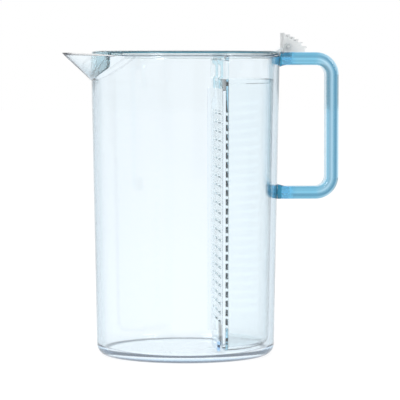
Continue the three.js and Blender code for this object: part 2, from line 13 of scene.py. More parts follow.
import bmesh
import bpy
import numpy as np
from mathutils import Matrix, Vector


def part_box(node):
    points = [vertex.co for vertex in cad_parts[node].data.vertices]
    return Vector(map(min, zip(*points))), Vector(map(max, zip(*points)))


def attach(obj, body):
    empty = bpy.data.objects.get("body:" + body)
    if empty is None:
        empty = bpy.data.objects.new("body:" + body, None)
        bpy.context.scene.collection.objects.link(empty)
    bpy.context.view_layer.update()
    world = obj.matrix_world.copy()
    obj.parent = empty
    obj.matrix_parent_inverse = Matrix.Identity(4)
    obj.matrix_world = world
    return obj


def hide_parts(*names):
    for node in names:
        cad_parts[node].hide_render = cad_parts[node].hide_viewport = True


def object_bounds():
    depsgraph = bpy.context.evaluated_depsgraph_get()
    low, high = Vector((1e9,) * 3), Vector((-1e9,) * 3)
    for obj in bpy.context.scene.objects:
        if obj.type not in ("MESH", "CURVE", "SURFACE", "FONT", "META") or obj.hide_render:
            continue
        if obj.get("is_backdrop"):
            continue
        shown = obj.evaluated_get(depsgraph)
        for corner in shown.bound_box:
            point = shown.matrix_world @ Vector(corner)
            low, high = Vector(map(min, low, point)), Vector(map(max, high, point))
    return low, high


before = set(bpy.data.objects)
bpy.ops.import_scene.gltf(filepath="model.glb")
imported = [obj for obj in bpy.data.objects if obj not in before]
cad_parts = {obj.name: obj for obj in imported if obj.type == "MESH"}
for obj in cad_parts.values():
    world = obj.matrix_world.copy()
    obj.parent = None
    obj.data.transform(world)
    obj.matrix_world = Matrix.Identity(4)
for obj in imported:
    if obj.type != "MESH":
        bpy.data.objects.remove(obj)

CAD_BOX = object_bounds()
MM = 0.001


def placed(name, data):
    """A new object in the scene that holds the data."""
    item = bpy.data.objects.new(name, data)
    bpy.context.scene.collection.objects.link(item)
    return item


# %% [markdown]
# ## The camera
#
# A product photographer stands well back with a long lens, so that a tall jug doesn't taper
# through perspective alone. Here the camera is level with the rim, where the lid shows as a thin
# line, and tips down a little to take in the base. The numbers are the distance, the turn round
# the jug and the length of the lens.

# %% Camera
RIM_VIEW_HEIGHT = 232 * MM
CAMERA_DISTANCE = 1885 * MM
CAMERA_TURN = np.radians(-4.2)
CAMERA_PITCH = np.radians(-3.431)
CAMERA_YAW = np.radians(0.34)
LENS_MM = 220.4
SENSOR_MM = 36


def aim(item, sight):
    """Turns a camera or a lamp so that it looks along a line of sight."""
    item.rotation_mode = "QUATERNION"
    item.rotation_quaternion = sight.to_track_quat("-Z", "Y")


camera = placed("camera", bpy.data.cameras.new("camera"))
camera.data.lens = LENS_MM
camera.data.sensor_width = SENSOR_MM
camera.data.clip_end = 20
camera.location = (
    CAMERA_DISTANCE * np.sin(CAMERA_TURN),
    -CAMERA_DISTANCE * np.cos(CAMERA_TURN),
    RIM_VIEW_HEIGHT,
)
heading = CAMERA_YAW - CAMERA_TURN
sight = Vector((
    np.sin(heading) * np.cos(CAMERA_PITCH),
    np.cos(heading) * np.cos(CAMERA_PITCH),
    np.sin(CAMERA_PITCH),
))
aim(camera, sight)
bpy.context.scene.camera = camera
print("camera at", [round(c, 3) for c in camera.location])

# %% [markdown]
# ## Surfaces from arrays
#
# Every piece below is a grid of points: rows of rings, where each ring goes round the piece. Faces
# are then a pattern of indices that is the same for every grid, so numpy makes them all at once.
# Whichever way the rings were written, the solid's signed volume says which side is out, and the
# faces are turned round if it is negative.


# %% Mesh helpers
def solid(name, points, faces):
    """Makes a closed mesh from points in millimetres. The signed volume is a sixth of the sum of
    a . (b x c) over its triangles, and the faces are reversed where it is negative."""
    volume = 0
    for face in faces:
        corners = points[np.asarray(face)]
        first, second, third = corners[:, :1], corners[:, 1:-1], corners[:, 2:]
        volume += (first * np.cross(second, third)).sum() / 6
    if volume < 0:
        faces = [np.asarray(face)[:, ::-1] for face in faces]
    mesh = bpy.data.meshes.new(name)
    rows = [row for face in faces for row in np.asarray(face).tolist()]
    mesh.from_pydata((points * MM).tolist(), [], rows)
    return placed(name, mesh)


def skin(name, grid, flat_ends=False):
    """Skins rings: grid[row, column] is a point and the last column meets the first. Each end
    closes with a fan about the ring's middle, or as one flat face."""
    rows, columns = grid.shape[:2]
    index = np.arange(rows * columns).reshape(rows, columns)
    beside = np.roll(index, -1, axis=1)
    quads = np.stack([index[:-1], beside[:-1], beside[1:], index[1:]], -1).reshape(-1, 4)
    points = grid.reshape(-1, 3)
    if flat_ends:
        return solid(name, points, [quads, index[:1, ::-1], index[-1:]])
    points = np.vstack([points, grid[0].mean(0), grid[-1].mean(0)])
    first, last = (np.full(columns, rows * columns + k) for k in (0, 1))
    fans = np.vstack([
        np.stack([first, beside[0], index[0]], -1),
        np.stack([last, index[-1], beside[-1]], -1),
    ])
    return solid(name, points, [quads, fans])


def rounded(corners, steps=6):
    """Rounds the corners of a closed outline of (x, y, radius). An arc starts and ends
    radius / tan(half) from its corner and turns about a centre radius / sin(half) from it, where
    half is half the angle between the two sides."""
    corners = np.array(corners, float)
    place, radius = corners[:, :2], corners[:, 2:]
    back = np.roll(place, 1, 0) - place
    ahead = np.roll(place, -1, 0) - place
    back /= np.linalg.norm(back, axis=1, keepdims=True)
    ahead /= np.linalg.norm(ahead, axis=1, keepdims=True)
    half = np.arccos(np.clip((back * ahead).sum(1, keepdims=True), -1, 1)) / 2
    bisector = back + ahead
    bisector /= np.maximum(np.linalg.norm(bisector, axis=1, keepdims=True), 1e-9)
    centre = place + bisector * radius / np.sin(half)
    start = place + back * radius / np.tan(half) - centre
    end = place + ahead * radius / np.tan(half) - centre
    turn = (np.pi - 2 * half)[:, None]
    share = np.linspace(0, 1, steps + 1)[None, :, None]
    arcs = np.sin((1 - share) * turn) * start[:, None] + np.sin(share * turn) * end[:, None]
    points = (centre[:, None] + arcs / np.sin(turn)).reshape(-1, 2)
    apart = np.linalg.norm(points - np.roll(points, 1, 0), axis=1)
    return points[apart > 1e-5]


def rectangle(low, high, radii=0, steps=6):
    """The outline of a rectangle between two corners, rounded by one radius or by four."""
    (x0, y0), (x1, y1) = low, high
    corners = [(x0, y0), (x1, y0), (x1, y1), (x0, y1)]
    return rounded(np.column_stack([corners, np.broadcast_to(radii, 4)]), steps)


def inward(outline):
    """The way each point of a closed outline moves so that all its sides move in by 1: the sum of
    the two sides' normals, divided by 1 plus their dot product."""
    side = np.roll(outline, -1, 0) - outline
    side /= np.linalg.norm(side, axis=1, keepdims=True)
    ahead = np.stack([-side[:, 1], side[:, 0]], -1)
    back = np.roll(ahead, 1, 0)
    x, y = outline.T
    area = (x * np.roll(y, -1) - y * np.roll(x, -1)).sum()
    return np.sign(area) * (ahead + back) / (1 + (ahead * back).sum(1, keepdims=True))


EDGE_ROWS = 4


def slab(name, outline, axis, low, high, edge=0.3):
    """A plate between low and high along an axis, with an outline in the plane of the other two.
    Its edges are quarter circles: at an angle t a ring is edge * (1 - cos t) deep and
    edge * (1 - sin t) inside the outline. An edge of 0 is left sharp."""
    t = np.linspace(0, np.pi / 2, EDGE_ROWS if edge else 1)
    depth, inset = edge * (1 - np.cos(t)), edge * (1 - np.sin(t))
    level = np.concatenate([low + depth, high - depth[::-1]])
    inset = np.concatenate([inset, inset[::-1]])
    flat = outline[None] + inward(outline)[None] * inset[:, None, None]
    grid = np.empty((len(level), len(outline), 3))
    across = {"x": (1, 2, 0), "y": (0, 2, 1), "z": (0, 1, 2)}[axis]
    grid[..., across[0]], grid[..., across[1]] = flat[..., 0], flat[..., 1]
    grid[..., across[2]] = level[:, None]
    return skin(name, grid, flat_ends=True)


def box(name, low, high, radius=0.4):
    """A box with rounded edges between two corners: a slab along Z."""
    return slab(name, rectangle(low[:2], high[:2], radius, 3), "z", low[2], high[2], radius)


def about_axis(radius, angle, height):
    """Points about the jug's axis, where the angle is 0 towards -X, the spout."""
    x, y = -radius * np.cos(angle), -radius * np.sin(angle)
    return np.stack(np.broadcast_arrays(x, y, height), -1)


def turned(name, profile, facets, first, last):
    """Turns a closed profile of (radius, height) about the jug's axis, from one angle to another,
    and closes it with flat ends."""
    angle = np.linspace(first, last, facets)[:, None]
    radius, height = profile.T[:, None]
    return skin(name, about_axis(radius, angle, height), flat_ends=True)


def filled(name, profile, facets=240):
    """Turns an open profile of (radius, height) that starts and ends on flat discs."""
    angle = np.linspace(0, 2 * np.pi, facets, endpoint=False)[None]
    radius, height = profile.T[..., None]
    return skin(name, about_axis(radius, angle, height))


def rod(name, axis, centre, low, high, radius, facets=40, edge=0.3):
    """A round rod between low and high along an axis, about a centre in the other two."""
    return slab(name, arc(centre, radius, 0, 360, facets)[:-1], axis, low, high, edge)


def arc(centre, radii, first, last, steps):
    """Points on part of a circle of one radius, or of an ellipse of two, about a centre. The
    angles are in degrees."""
    angle = np.radians(np.linspace(first, last, steps + 1))
    return centre + np.stack([np.cos(angle), np.sin(angle)], -1) * radii


def smooth(share):
    """The S-curve 3 t^2 - 2 t^3 of a share held between 0 and 1."""
    share = np.clip(share, 0, 1)
    return share * share * (3 - 2 * share)


# %% [markdown]
# ## Joining and cutting
#
# A moulding is one piece of plastic even where it has ribs and lugs. If those were separate closed
# meshes pushed into each other, light would bend at faces inside the plastic that aren't there.
# A Boolean modifier joins them into one skin, and the Manifold solver does that quickly because
# every mesh here is closed. The result is applied, so the piece ends as one plain mesh. A large
# flat face with holes cut in it would be one face whose outline touches itself, which a renderer
# may split the wrong way round, so such faces are split into triangles before and after.


# %% Boolean helper
def split(piece):
    """Splits the faces of more than four corners into triangles."""
    mesh = bmesh.new()
    mesh.from_mesh(piece.data)
    large = [face for face in mesh.faces if len(face.verts) > 4]
    bmesh.ops.triangulate(mesh, faces=large)
    mesh.to_mesh(piece.data)
    mesh.free()


def points_of(piece):
    """The places of a piece's points, in metres, one to a row."""
    place = np.empty(len(piece.data.vertices) * 3)
    piece.data.vertices.foreach_get("co", place)
    return place.reshape(-1, 3)


def combined(base, operation, *tools):
    """Joins the tools to the base, or cuts them from it, and removes them."""
    for piece in (base, *tools):
        split(piece)
    for tool in tools:
        modifier = base.modifiers.new(tool.name, "BOOLEAN")
        modifier.operation, modifier.solver, modifier.object = operation, "MANIFOLD", tool
    graph = bpy.context.evaluated_depsgraph_get()
    mesh = bpy.data.meshes.new_from_object(base.evaluated_get(graph))
    base.modifiers.clear()
    base.data = mesh
    split(base)
    for tool in tools:
        bpy.data.objects.remove(tool)
    return base


def mirrored(piece):
    """A copy of a piece on the other side of the plane through the spout and the handle."""
    copy = placed(piece.name + "_mirrored", piece.data.copy())
    copy.data.vertices.foreach_set("co", (points_of(copy) * (1, -1, 1)).ravel())
    copy.data.flip_normals()
    return copy


SHARP_ANGLE = np.radians(28)


def finish(piece, body, node):
    """Shades a piece smooth between its sharp edges, and lets it stand for a CAD node."""
    piece.data.shade_smooth()
    piece.data.set_sharp_from_angle(angle=SHARP_ANGLE)
    piece.data.materials.clear()
    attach(piece, body)
    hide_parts(node)
    low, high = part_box(node)
    place = points_of(piece)
    proud = max((np.array(low) - place.min(0)).max(), (place.max(0) - np.array(high)).max())
    print(f"{piece.name}: {len(piece.data.polygons)} faces, {proud / MM:+.2f} mm past its node")
    return piece


# %% [markdown]
# ## The sizes that everything shares
#
# The looks have to sit on the frame to the tenth of a millimetre, so the same sizes are written
# here as in the CAD source: the clearances, the jug's round wall and the heights of the levels
# that pieces rest on. The frame's own boxes then say whether each piece came out where it should.

# %% Shared sizes, in millimetres
SEAT_GAP, HINGE_GAP, SLIP_GAP, LIFT_GAP, MOUTH_GAP = 0.3, 0.4, 0.5, 1.2, 0.8
OVERRUN, SINK = 6, 0.6
JUG_HEIGHT, RIM_RADIUS, BODY_TAPER, WALL, FLOOR = 230.1, 72.5, 4.2, 3.4, 4.6
BASE_RADIUS = RIM_RADIUS - BODY_TAPER
FLANGE_THICK, LID_THICK = 1.3, 1.8
FLANGE_BOTTOM = JUG_HEIGHT + SEAT_GAP
FLANGE_TOP = FLANGE_BOTTOM + FLANGE_THICK
LID_BOTTOM = FLANGE_TOP + SEAT_GAP
LID_TOP = LID_BOTTOM + LID_THICK
SPOUT_DROP, SPOUT_REACH, SPOUT_RISE, SPOUT_FLOOR_RISE = 19.4, 20.4, 2.3, 0.5
SPOUT_ROOT = JUG_HEIGHT - SPOUT_DROP
SPOUT_SLOPE = SPOUT_REACH / SPOUT_DROP
SPOUT_FLARE = 1.33
NOSE_ANGLE = np.radians(3.5)
HANDLE_RISE, PIN_OUT, PIN_ABOVE, PIN_RADIUS = 2.7, 5.5, 4.2, 1.2
HANDLE_TOP = JUG_HEIGHT + HANDLE_RISE
PIN_X, PIN_Z = RIM_RADIUS + PIN_OUT, HANDLE_TOP + PIN_ABOVE


def outer_round(height):
    """The outer radius grows evenly from the base to the rim."""
    return BASE_RADIUS + BODY_TAPER * height / JUG_HEIGHT


def inner_round(height):
    return outer_round(height) - WALL


def outer_nose(height):
    """The spout's nose line leaves the wall at the spout's root and runs out at its slope."""
    return outer_round(height) + SPOUT_SLOPE * np.maximum(0, height - SPOUT_ROOT)


def inner_nose(height):
    rise = np.maximum(0, height - SPOUT_ROOT - SPOUT_FLOOR_RISE)
    return inner_round(height) + SPOUT_SLOPE * rise


def wall_radius(round_part, nose, angle):
    """The wall's radius at an angle from the nose. A straight wall from the nose meets the round
    part at the angle acos(round / nose). The flare lets it reach 1.33 times as far round, and a
    hyperbola about the nose blunts its tip."""
    tangent = np.arccos(np.minimum(1, round_part / nose))
    turn = np.hypot(angle, NOSE_ANGLE) - NOSE_ANGLE
    return round_part / np.cos(np.maximum(0, tangent - turn / SPOUT_FLARE))


# %% [markdown]
# ## The jug
#
# The real jug is one moulding: a floor about 4.6 mm thick, a wall that widens a little to the rim,
# and a V spout whose two walls leave the round and meet in a nose. A lathe can't make the spout,
# so the wall is a function of height and angle. Its rows run up the outside, over the rounded rim
# and down the inside, and its columns crowd together near the nose, where the wall turns fastest.

# %% Jug wall
COLUMNS, CROWDING, ROW_SPREAD = 320, 0.4, 1.3
around = np.linspace(-1, 1, COLUMNS, endpoint=False)
WALL_ANGLES = np.pi * ((1 - CROWDING) * around + CROWDING * around ** 3)[None]
MOUTH_ANGLE = SPOUT_FLARE * np.arccos(RIM_RADIUS / outer_nose(JUG_HEIGHT)) + NOSE_ANGLE


def wall_rows(height, inset, round_at, nose_at):
    """Rings of the wall. Near the nose a ring is lifted, by up to the spout's rise at the rim."""
    height, inset = np.atleast_1d(height)[:, None], np.atleast_1d(inset)[:, None]
    share = np.clip((height - SPOUT_ROOT) / SPOUT_DROP, 0, 1)
    level = height + share * SPOUT_RISE * smooth(1 - np.abs(WALL_ANGLES) / MOUTH_ANGLE)
    radius = wall_radius(round_at(level), nose_at(level), WALL_ANGLES) + inset
    return about_axis(radius, WALL_ANGLES, level)


BASE_EDGE, FLOOR_EDGE, RIM_EDGE = 8, 5, 1.2
RIM_INNER_EDGE = WALL / 4
quarter = np.linspace(0, np.pi / 2, 13)
rising = np.linspace(0, 1, 29)[1:-1]
rim_start = JUG_HEIGHT - RIM_EDGE
floor_start = SPOUT_ROOT + SPOUT_FLOOR_RISE


def outside(height, inset=0.0):
    return wall_rows(height, inset + 0 * height, outer_round, outer_nose)


def inside(height, inset=0.0):
    return wall_rows(height, inset + 0 * height, inner_round, inner_nose)


jug = skin("jug", np.concatenate([
    outside(BASE_EDGE * (1 - np.cos(quarter)), BASE_EDGE * (np.sin(quarter) - 1)),
    outside(np.linspace(BASE_EDGE, SPOUT_ROOT, 17)[1:]),
    outside(SPOUT_ROOT + rising ** ROW_SPREAD * (rim_start - SPOUT_ROOT)),
    outside(rim_start + RIM_EDGE * np.sin(quarter), RIM_EDGE * (np.cos(quarter) - 1)),
    inside(rim_start + RIM_EDGE * np.cos(quarter), RIM_INNER_EDGE * (1 - np.sin(quarter))),
    inside(floor_start + rising[::-1] ** ROW_SPREAD * (rim_start - floor_start)),
    inside(np.linspace(floor_start, FLOOR + FLOOR_EDGE, 17)[:-1]),
    inside(FLOOR + FLOOR_EDGE * (1 - np.sin(quarter)), FLOOR_EDGE * (np.cos(quarter) - 1)),
]))

# %% [markdown]
# Inside the jug two slim ribs hold the strainer's screen by its edges, and a low stop on the floor
# holds its foot. Outside, an oval peg at each end of the handle carries the bond. All are joined
# to the wall.

# %% Ribs, stop and pegs
SCREEN_X, SCREEN_THICK, STRAINER_DROP, STRAINER_LIFT = 26.1, 1.8, 17.5, 3.7
SCREEN_FRONT, SCREEN_BACK = SCREEN_X - SCREEN_THICK / 2, SCREEN_X + SCREEN_THICK / 2
STRAINER_TOP, STRAINER_BOTTOM = JUG_HEIGHT - STRAINER_DROP, FLOOR + STRAINER_LIFT
GUIDE_THICK, GUIDE_PROUD, GUIDE_FOOT, GUIDE_TOP_DROP = 2.4, 4, 7, 8
GUIDE_BACK = SCREEN_FRONT - SEAT_GAP
GUIDE_FRONT = GUIDE_BACK - GUIDE_THICK
GUIDE_LOW, GUIDE_HIGH = FLOOR + GUIDE_FOOT, STRAINER_TOP - GUIDE_TOP_DROP
STOP_HEIGHT, STOP_WIDTH = 7.5, 44


def half_chord(radius, distance):
    """Half the width of a circle at a distance from its middle."""
    return np.sqrt(radius ** 2 - distance ** 2)


guide_low = half_chord(inner_round(GUIDE_LOW), GUIDE_FRONT)
guide_high = half_chord(inner_round(GUIDE_HIGH), GUIDE_FRONT)
guide = slab("guide", rounded([
    (guide_low - GUIDE_PROUD, GUIDE_LOW, 1.2),
    (guide_low + SINK, GUIDE_LOW, 0),
    (guide_high + SINK, GUIDE_HIGH, 0),
    (guide_high - GUIDE_PROUD, GUIDE_HIGH, 1.2),
]), "x", GUIDE_FRONT, GUIDE_BACK)
stop = slab("stop", rectangle(
    (-STOP_WIDTH / 2, FLOOR - SINK), (STOP_WIDTH / 2, FLOOR + STOP_HEIGHT), (0, 0, 1.5, 1.5),
), "x", GUIDE_FRONT, GUIDE_BACK)

HANDLE_THICK, HANDLE_WIDTH, HANDLE_DROP = 9.9, 18, 113
UPPER_ARM = HANDLE_TOP - HANDLE_THICK / 2
LOWER_ARM = HANDLE_TOP - HANDLE_DROP + HANDLE_THICK / 2
PEG_REACH, PEG_HALF_WIDTH, PEG_HALF_HEIGHT = 9.3, 4.5, 1.9


def peg(name, height):
    """An oval rod from inside the wall to the peg's tip, along X."""
    oval = arc((0, height), (PEG_HALF_WIDTH, PEG_HALF_HEIGHT), 0, 360, 48)[:-1]
    start = outer_round(height) - WALL / 2
    return slab(name, oval, "x", start, outer_round(height) + PEG_REACH, 0.5)


pegs = peg("upper_peg", UPPER_ARM), peg("lower_peg", LOWER_ARM)
jug = combined(jug, "UNION", guide, mirrored(guide), stop, *pegs)
finish(jug, "jug", "jug_body")

# %% [markdown]
# ## The handle
#
# The handle is a solid bar with a rounded section, bent into a loop and bonded on at both ends.
# A curve with a bevel would make the loop, but not its ends, which follow the round wall, flare
# where they meet it and are bored for the pegs. So the section is carried along the path by hand:
# the rings start at the bottom of one bore, turn over its mouth to the face against the wall, run
# round the loop and end in the other bore.

# %% Handle
HANDLE_REACH, HANDLE_CORNER, HANDLE_BEND = 45.5, 3.9, 12.6
HANDLE_FLARE, FLARE_LENGTH, ARM_START = 1.4, 6, 1.2
HANDLE_RIGHT = RIM_RADIUS + HANDLE_REACH - HANDLE_THICK / 2
BEND_X = HANDLE_RIGHT - HANDLE_BEND
SECTION_POINTS = 96


def resampled(outline, count):
    """The same closed outline with its points evenly spaced along it."""
    closed = np.vstack([outline, outline[:1]])
    along = np.concatenate([[0], np.cumsum(np.linalg.norm(np.diff(closed, axis=0), axis=1))])
    wanted = np.linspace(0, along[-1], count, endpoint=False)
    return np.stack([np.interp(wanted, along, closed[:, k]) for k in (0, 1)], -1)


half_w, half_t = HANDLE_WIDTH / 2, HANDLE_THICK / 2
section = resampled(rounded([
    (half_w, -half_t, HANDLE_CORNER), (half_w, half_t, HANDLE_CORNER),
    (-half_w, half_t, HANDLE_CORNER), (-half_w, -half_t, HANDLE_CORNER),
], 12), SECTION_POINTS)
arm_x = np.concatenate([
    RIM_RADIUS + np.linspace(ARM_START, FLARE_LENGTH, 9),
    np.linspace(RIM_RADIUS + FLARE_LENGTH, BEND_X, 9)[1:-1],
])
bend = np.linspace(0, np.pi / 2, 25)
side_z = np.linspace(UPPER_ARM - HANDLE_BEND, LOWER_ARM + HANDLE_BEND, 13)[1:-1]
path_x = np.concatenate([
    arm_x, BEND_X + HANDLE_BEND * np.sin(bend), np.full(len(side_z), HANDLE_RIGHT),
    BEND_X + HANDLE_BEND * np.cos(bend), arm_x[::-1],
])
path_z = np.concatenate([
    np.full(len(arm_x), UPPER_ARM), UPPER_ARM - HANDLE_BEND * (1 - np.cos(bend)), side_z,
    LOWER_ARM + HANDLE_BEND * (1 - np.sin(bend)), np.full(len(arm_x), LOWER_ARM),
])
path_turn = np.concatenate([
    np.zeros(len(arm_x)), bend, np.full(len(side_z), np.pi / 2), np.pi / 2 + bend,
    np.full(len(arm_x), np.pi),
])


def handle_rows(x, z, turn):
    """Carries the section along: its width lies along Y and its thickness along the normal
    (sin turn, 0, cos turn). The inner side is pushed in by the flare near the wall, as
    flare * (1 - share)^2."""
    x, z, turn = (np.atleast_1d(v)[:, None] for v in (x, z, turn))
    share = np.clip((x - RIM_RADIUS) / FLARE_LENGTH, 0, 1)
    flare = np.where(turn % np.pi < 1e-6, HANDLE_FLARE * (1 - share) ** 2, 0)
    across, deep = section[None, :, 0], section[None, :, 1]
    flat = half_t - HANDLE_CORNER
    deep = deep - flare * np.clip((flat - deep) / (2 * flat), 0, 1)
    return np.stack([
        x + deep * np.sin(turn), across + 0 * x, z + deep * np.cos(turn),
    ], -1)


def against_wall(ring):
    """Moves a ring along X onto a cylinder a seat gap outside the jug's wall."""
    moved = ring.copy()
    moved[:, 0] = half_chord(outer_round(ring[:, 2]) + SEAT_GAP, ring[:, 1])
    return moved


def bored_end(height, turn):
    """The rings from the bottom of a bore to the face against the wall."""
    face = against_wall(handle_rows(RIM_RADIUS, height, turn)[0])
    angle = np.arctan2((face[:, 2] - height) / half_t, face[:, 1] / half_w)
    mouth = np.stack([
        0 * angle, (PEG_HALF_WIDTH + SEAT_GAP) * np.cos(angle),
        height + (PEG_HALF_HEIGHT + SEAT_GAP) * np.sin(angle),
    ], -1)
    bottom = mouth.copy()
    bottom[:, 0] = outer_round(height) + PEG_REACH + SEAT_GAP
    return np.stack([bottom, against_wall(mouth), face])


handle = skin("handle_loop", np.concatenate([
    bored_end(UPPER_ARM, 0.0), handle_rows(path_x, path_z, path_turn),
    bored_end(LOWER_ARM, np.pi)[::-1],
]))
finish(handle, "jug", "handle")

# %% [markdown]
# ## The mouth ring
#
# A clear collar rests on the jug's rim with a short skirt inside it, and is left open at the
# spout. A bar crosses it over the screen, and two lugs at the back carry the hinge pin. The collar
# is a closed profile turned through part of a circle, and the bar, legs and lugs are rounded
# blocks joined to it.

# %% Mouth ring
SKIRT_THICK, SKIRT_DEPTH, FLANGE_INSET = 2.2, 2.2, 0.2
SKIRT_OUTER = RIM_RADIUS - WALL - SLIP_GAP
SKIRT_INNER = SKIRT_OUTER - SKIRT_THICK
SKIRT_BOTTOM = JUG_HEIGHT - SKIRT_DEPTH
RING_EDGE = RIM_RADIUS - FLANGE_INSET
RING_MOUTH = np.radians(45)
collar = turned("ring", rounded([
    (SKIRT_INNER, SKIRT_BOTTOM, 0.5), (SKIRT_OUTER, SKIRT_BOTTOM, 0.5),
    (SKIRT_OUTER, FLANGE_BOTTOM, 0.15), (RING_EDGE, FLANGE_BOTTOM, 0.3),
    (RING_EDGE, FLANGE_TOP, 0.6), (SKIRT_INNER, FLANGE_TOP, 0.3),
], 4), 240, RING_MOUTH, 2 * np.pi - RING_MOUTH)

BAR_HALF, BAR_HEIGHT, BAR_DROP = 1.5, 3, 0.8
LEG_WIDTH, LEG_INSET, LEG_LAP = 3, 0.8, 1
BAR_TOP = JUG_HEIGHT - BAR_DROP
BAR_BOTTOM = BAR_TOP - BAR_HEIGHT
BAR_FRONT, BAR_BACK = SCREEN_X - BAR_HALF, SCREEN_X + BAR_HALF
bar_end = half_chord((SKIRT_OUTER + SKIRT_INNER) / 2, BAR_BACK)
leg_end = half_chord(SKIRT_INNER, BAR_BACK) - LEG_INSET
bar = box("bar", (BAR_FRONT, -bar_end, BAR_BOTTOM), (BAR_BACK, bar_end, BAR_TOP))
leg = box(
    "leg", (BAR_FRONT, leg_end - LEG_WIDTH, STRAINER_TOP + SEAT_GAP),
    (BAR_BACK, leg_end, BAR_BOTTOM + LEG_LAP),
)

CHEEK_THICK, LUG_THICK, LUG_RADIUS, LUG_FOOT, TONGUE_STEP = 2, 3, 2.9, 4.6, 2
CHEEK_INNER = HANDLE_WIDTH / 2 + HINGE_GAP
CHEEK_OUTER = CHEEK_INNER + CHEEK_THICK
LUG_INNER = CHEEK_OUTER + HINGE_GAP
LUG_OUTER = LUG_INNER + LUG_THICK
TONGUE_HALF = HANDLE_WIDTH / 2 - SEAT_GAP
UPRIGHT_BACK = half_chord(SKIRT_INNER, TONGUE_HALF) - SLIP_GAP
UPRIGHT_FRONT = UPRIGHT_BACK - TONGUE_STEP
NOTCH_FRONT = UPRIGHT_FRONT - SEAT_GAP
pad_side = LUG_OUTER + HINGE_GAP
pad = box(
    "pad", (UPRIGHT_FRONT, CHEEK_INNER, FLANGE_BOTTOM),
    (half_chord(SKIRT_OUTER, pad_side), pad_side, FLANGE_TOP), 0.3,
)
foot_end = half_chord(RING_EDGE, LUG_OUTER)
head = arc((PIN_X, PIN_Z), LUG_RADIUS, -45, 135, 24)
lug = slab("lug", np.vstack([
    [(foot_end - LUG_FOOT, FLANGE_BOTTOM), (foot_end, FLANGE_BOTTOM)], head,
]), "y", LUG_INNER, LUG_OUTER)


def pin_bore():
    """What is cut away for the hinge pin."""
    end = LUG_OUTER + OVERRUN
    return rod("bore", "y", (PIN_X, PIN_Z), -end, end, PIN_RADIUS + SEAT_GAP)


ring = combined(
    collar, "UNION", bar, leg, mirrored(leg), pad, mirrored(pad), lug, mirrored(lug),
)
ring = combined(ring, "DIFFERENCE", pin_bore())
finish(ring, "insert", "mouth_ring")

# %% [markdown]
# ## The strainer
#
# Tea leaves and fruit go behind a slotted screen. The strainer's back is a tapered cup of which
# only the part behind the screen is kept, so a whole cup is turned and a block cuts it. The
# screen is a flat plate, and all its slots are cut at once by one mesh of rounded bars. Two
# straps hook over the ring's bar and peg into the screen.

# %% Strainer back
STRAINER_WALL, STRAINER_FLOOR, STRAINER_EDGE = 1.8, 2, 7
LIP_HEIGHT, LIP_PROUD, LIP_EDGE = 3.5, 0.5, 0.5
FAR = 90  # further out than the insert and the lid


def strainer_round(height):
    """The strainer keeps the lift gap to the jug's wall all the way up."""
    return inner_round(height) - LIFT_GAP


inner_edge = STRAINER_EDGE - STRAINER_WALL
inner_low = STRAINER_BOTTOM + STRAINER_FLOOR
outer_at = strainer_round(STRAINER_BOTTOM + STRAINER_EDGE)
inner_at = strainer_round(inner_low + inner_edge) - STRAINER_WALL
lip_low, lip_edge = STRAINER_TOP - LIP_HEIGHT, strainer_round(STRAINER_TOP) + LIP_PROUD
lip_inner, lip_top = lip_edge - LIP_PROUD - STRAINER_WALL, STRAINER_TOP - LIP_EDGE
foot_z, seat_z = STRAINER_BOTTOM + STRAINER_EDGE, inner_low + inner_edge
shell = filled("strainer_back", np.vstack([
    arc((outer_at - STRAINER_EDGE, foot_z), STRAINER_EDGE, -90, 0, 12),
    [(strainer_round(lip_low), lip_low), (lip_edge, lip_low + LIP_PROUD)],
    arc((lip_edge - LIP_EDGE, lip_top), LIP_EDGE, 0, 90, 4),
    arc((lip_inner + LIP_EDGE, lip_top), LIP_EDGE, 90, 180, 4),
    arc((inner_at - inner_edge, seat_z), inner_edge, 0, -90, 12),
]))
keep = rectangle((SCREEN_BACK + SEAT_GAP, -FAR), (FAR, FAR))
keep = slab("keep", keep, "z", -OVERRUN, JUG_HEIGHT + OVERRUN, 0)
shell = combined(shell, "INTERSECT", keep)
finish(shell, "insert", "strainer_shell")

# %% Strainer screen
SLOT_PITCH, SLOT_HEIGHT, SLOT_RIB, SLOT_COLUMNS = 6.95, 2.8, 4, 4
SLOT_TOP, SLOT_BOTTOM, SLOT_SIDE, SLOT_CORNER = 26, 15, 5.5, 0.9


def screen_half(height):
    return half_chord(strainer_round(height), SCREEN_FRONT)


corner = arc((screen_half(foot_z) - STRAINER_EDGE, foot_z), STRAINER_EDGE, -90, 0, 10)
side = np.vstack([corner, [(screen_half(STRAINER_TOP), STRAINER_TOP)]])
screen = slab(
    "screen", np.vstack([side, side[::-1] * (-1, 1)]), "x", SCREEN_FRONT, SCREEN_BACK, 0.3,
)
usable = 2 * (screen_half(STRAINER_BOTTOM + SLOT_BOTTOM) - SLOT_SIDE)
slot_width = (usable - SLOT_RIB * (SLOT_COLUMNS - 1)) / SLOT_COLUMNS
first_row = STRAINER_TOP - SLOT_TOP
rows = int((first_row - STRAINER_BOTTOM - SLOT_BOTTOM) // SLOT_PITCH) + 1
opening = rectangle((0, -SLOT_HEIGHT / 2), (slot_width, SLOT_HEIGHT / 2), SLOT_CORNER, 3)
cut_front, cut_back = SCREEN_FRONT - OVERRUN, SCREEN_BACK + OVERRUN
one = slab("slots", opening, "x", cut_front, cut_back, 0)
place = points_of(one) / MM
row, column = np.meshgrid(np.arange(rows), np.arange(SLOT_COLUMNS), indexing="ij")
shift = np.stack([
    0 * row, -usable / 2 + column * (slot_width + SLOT_RIB), first_row - row * SLOT_PITCH,
], -1).reshape(-1, 1, 3)
copies = (place[None] + shift).reshape(-1, 3) * MM
faces = [list(face.vertices) for face in one.data.polygons]
mesh = bpy.data.meshes.new("slots")
mesh.from_pydata(copies.tolist(), [], [
    [v + k * len(place) for v in face] for k in range(rows * SLOT_COLUMNS) for face in faces
])
one.data = mesh
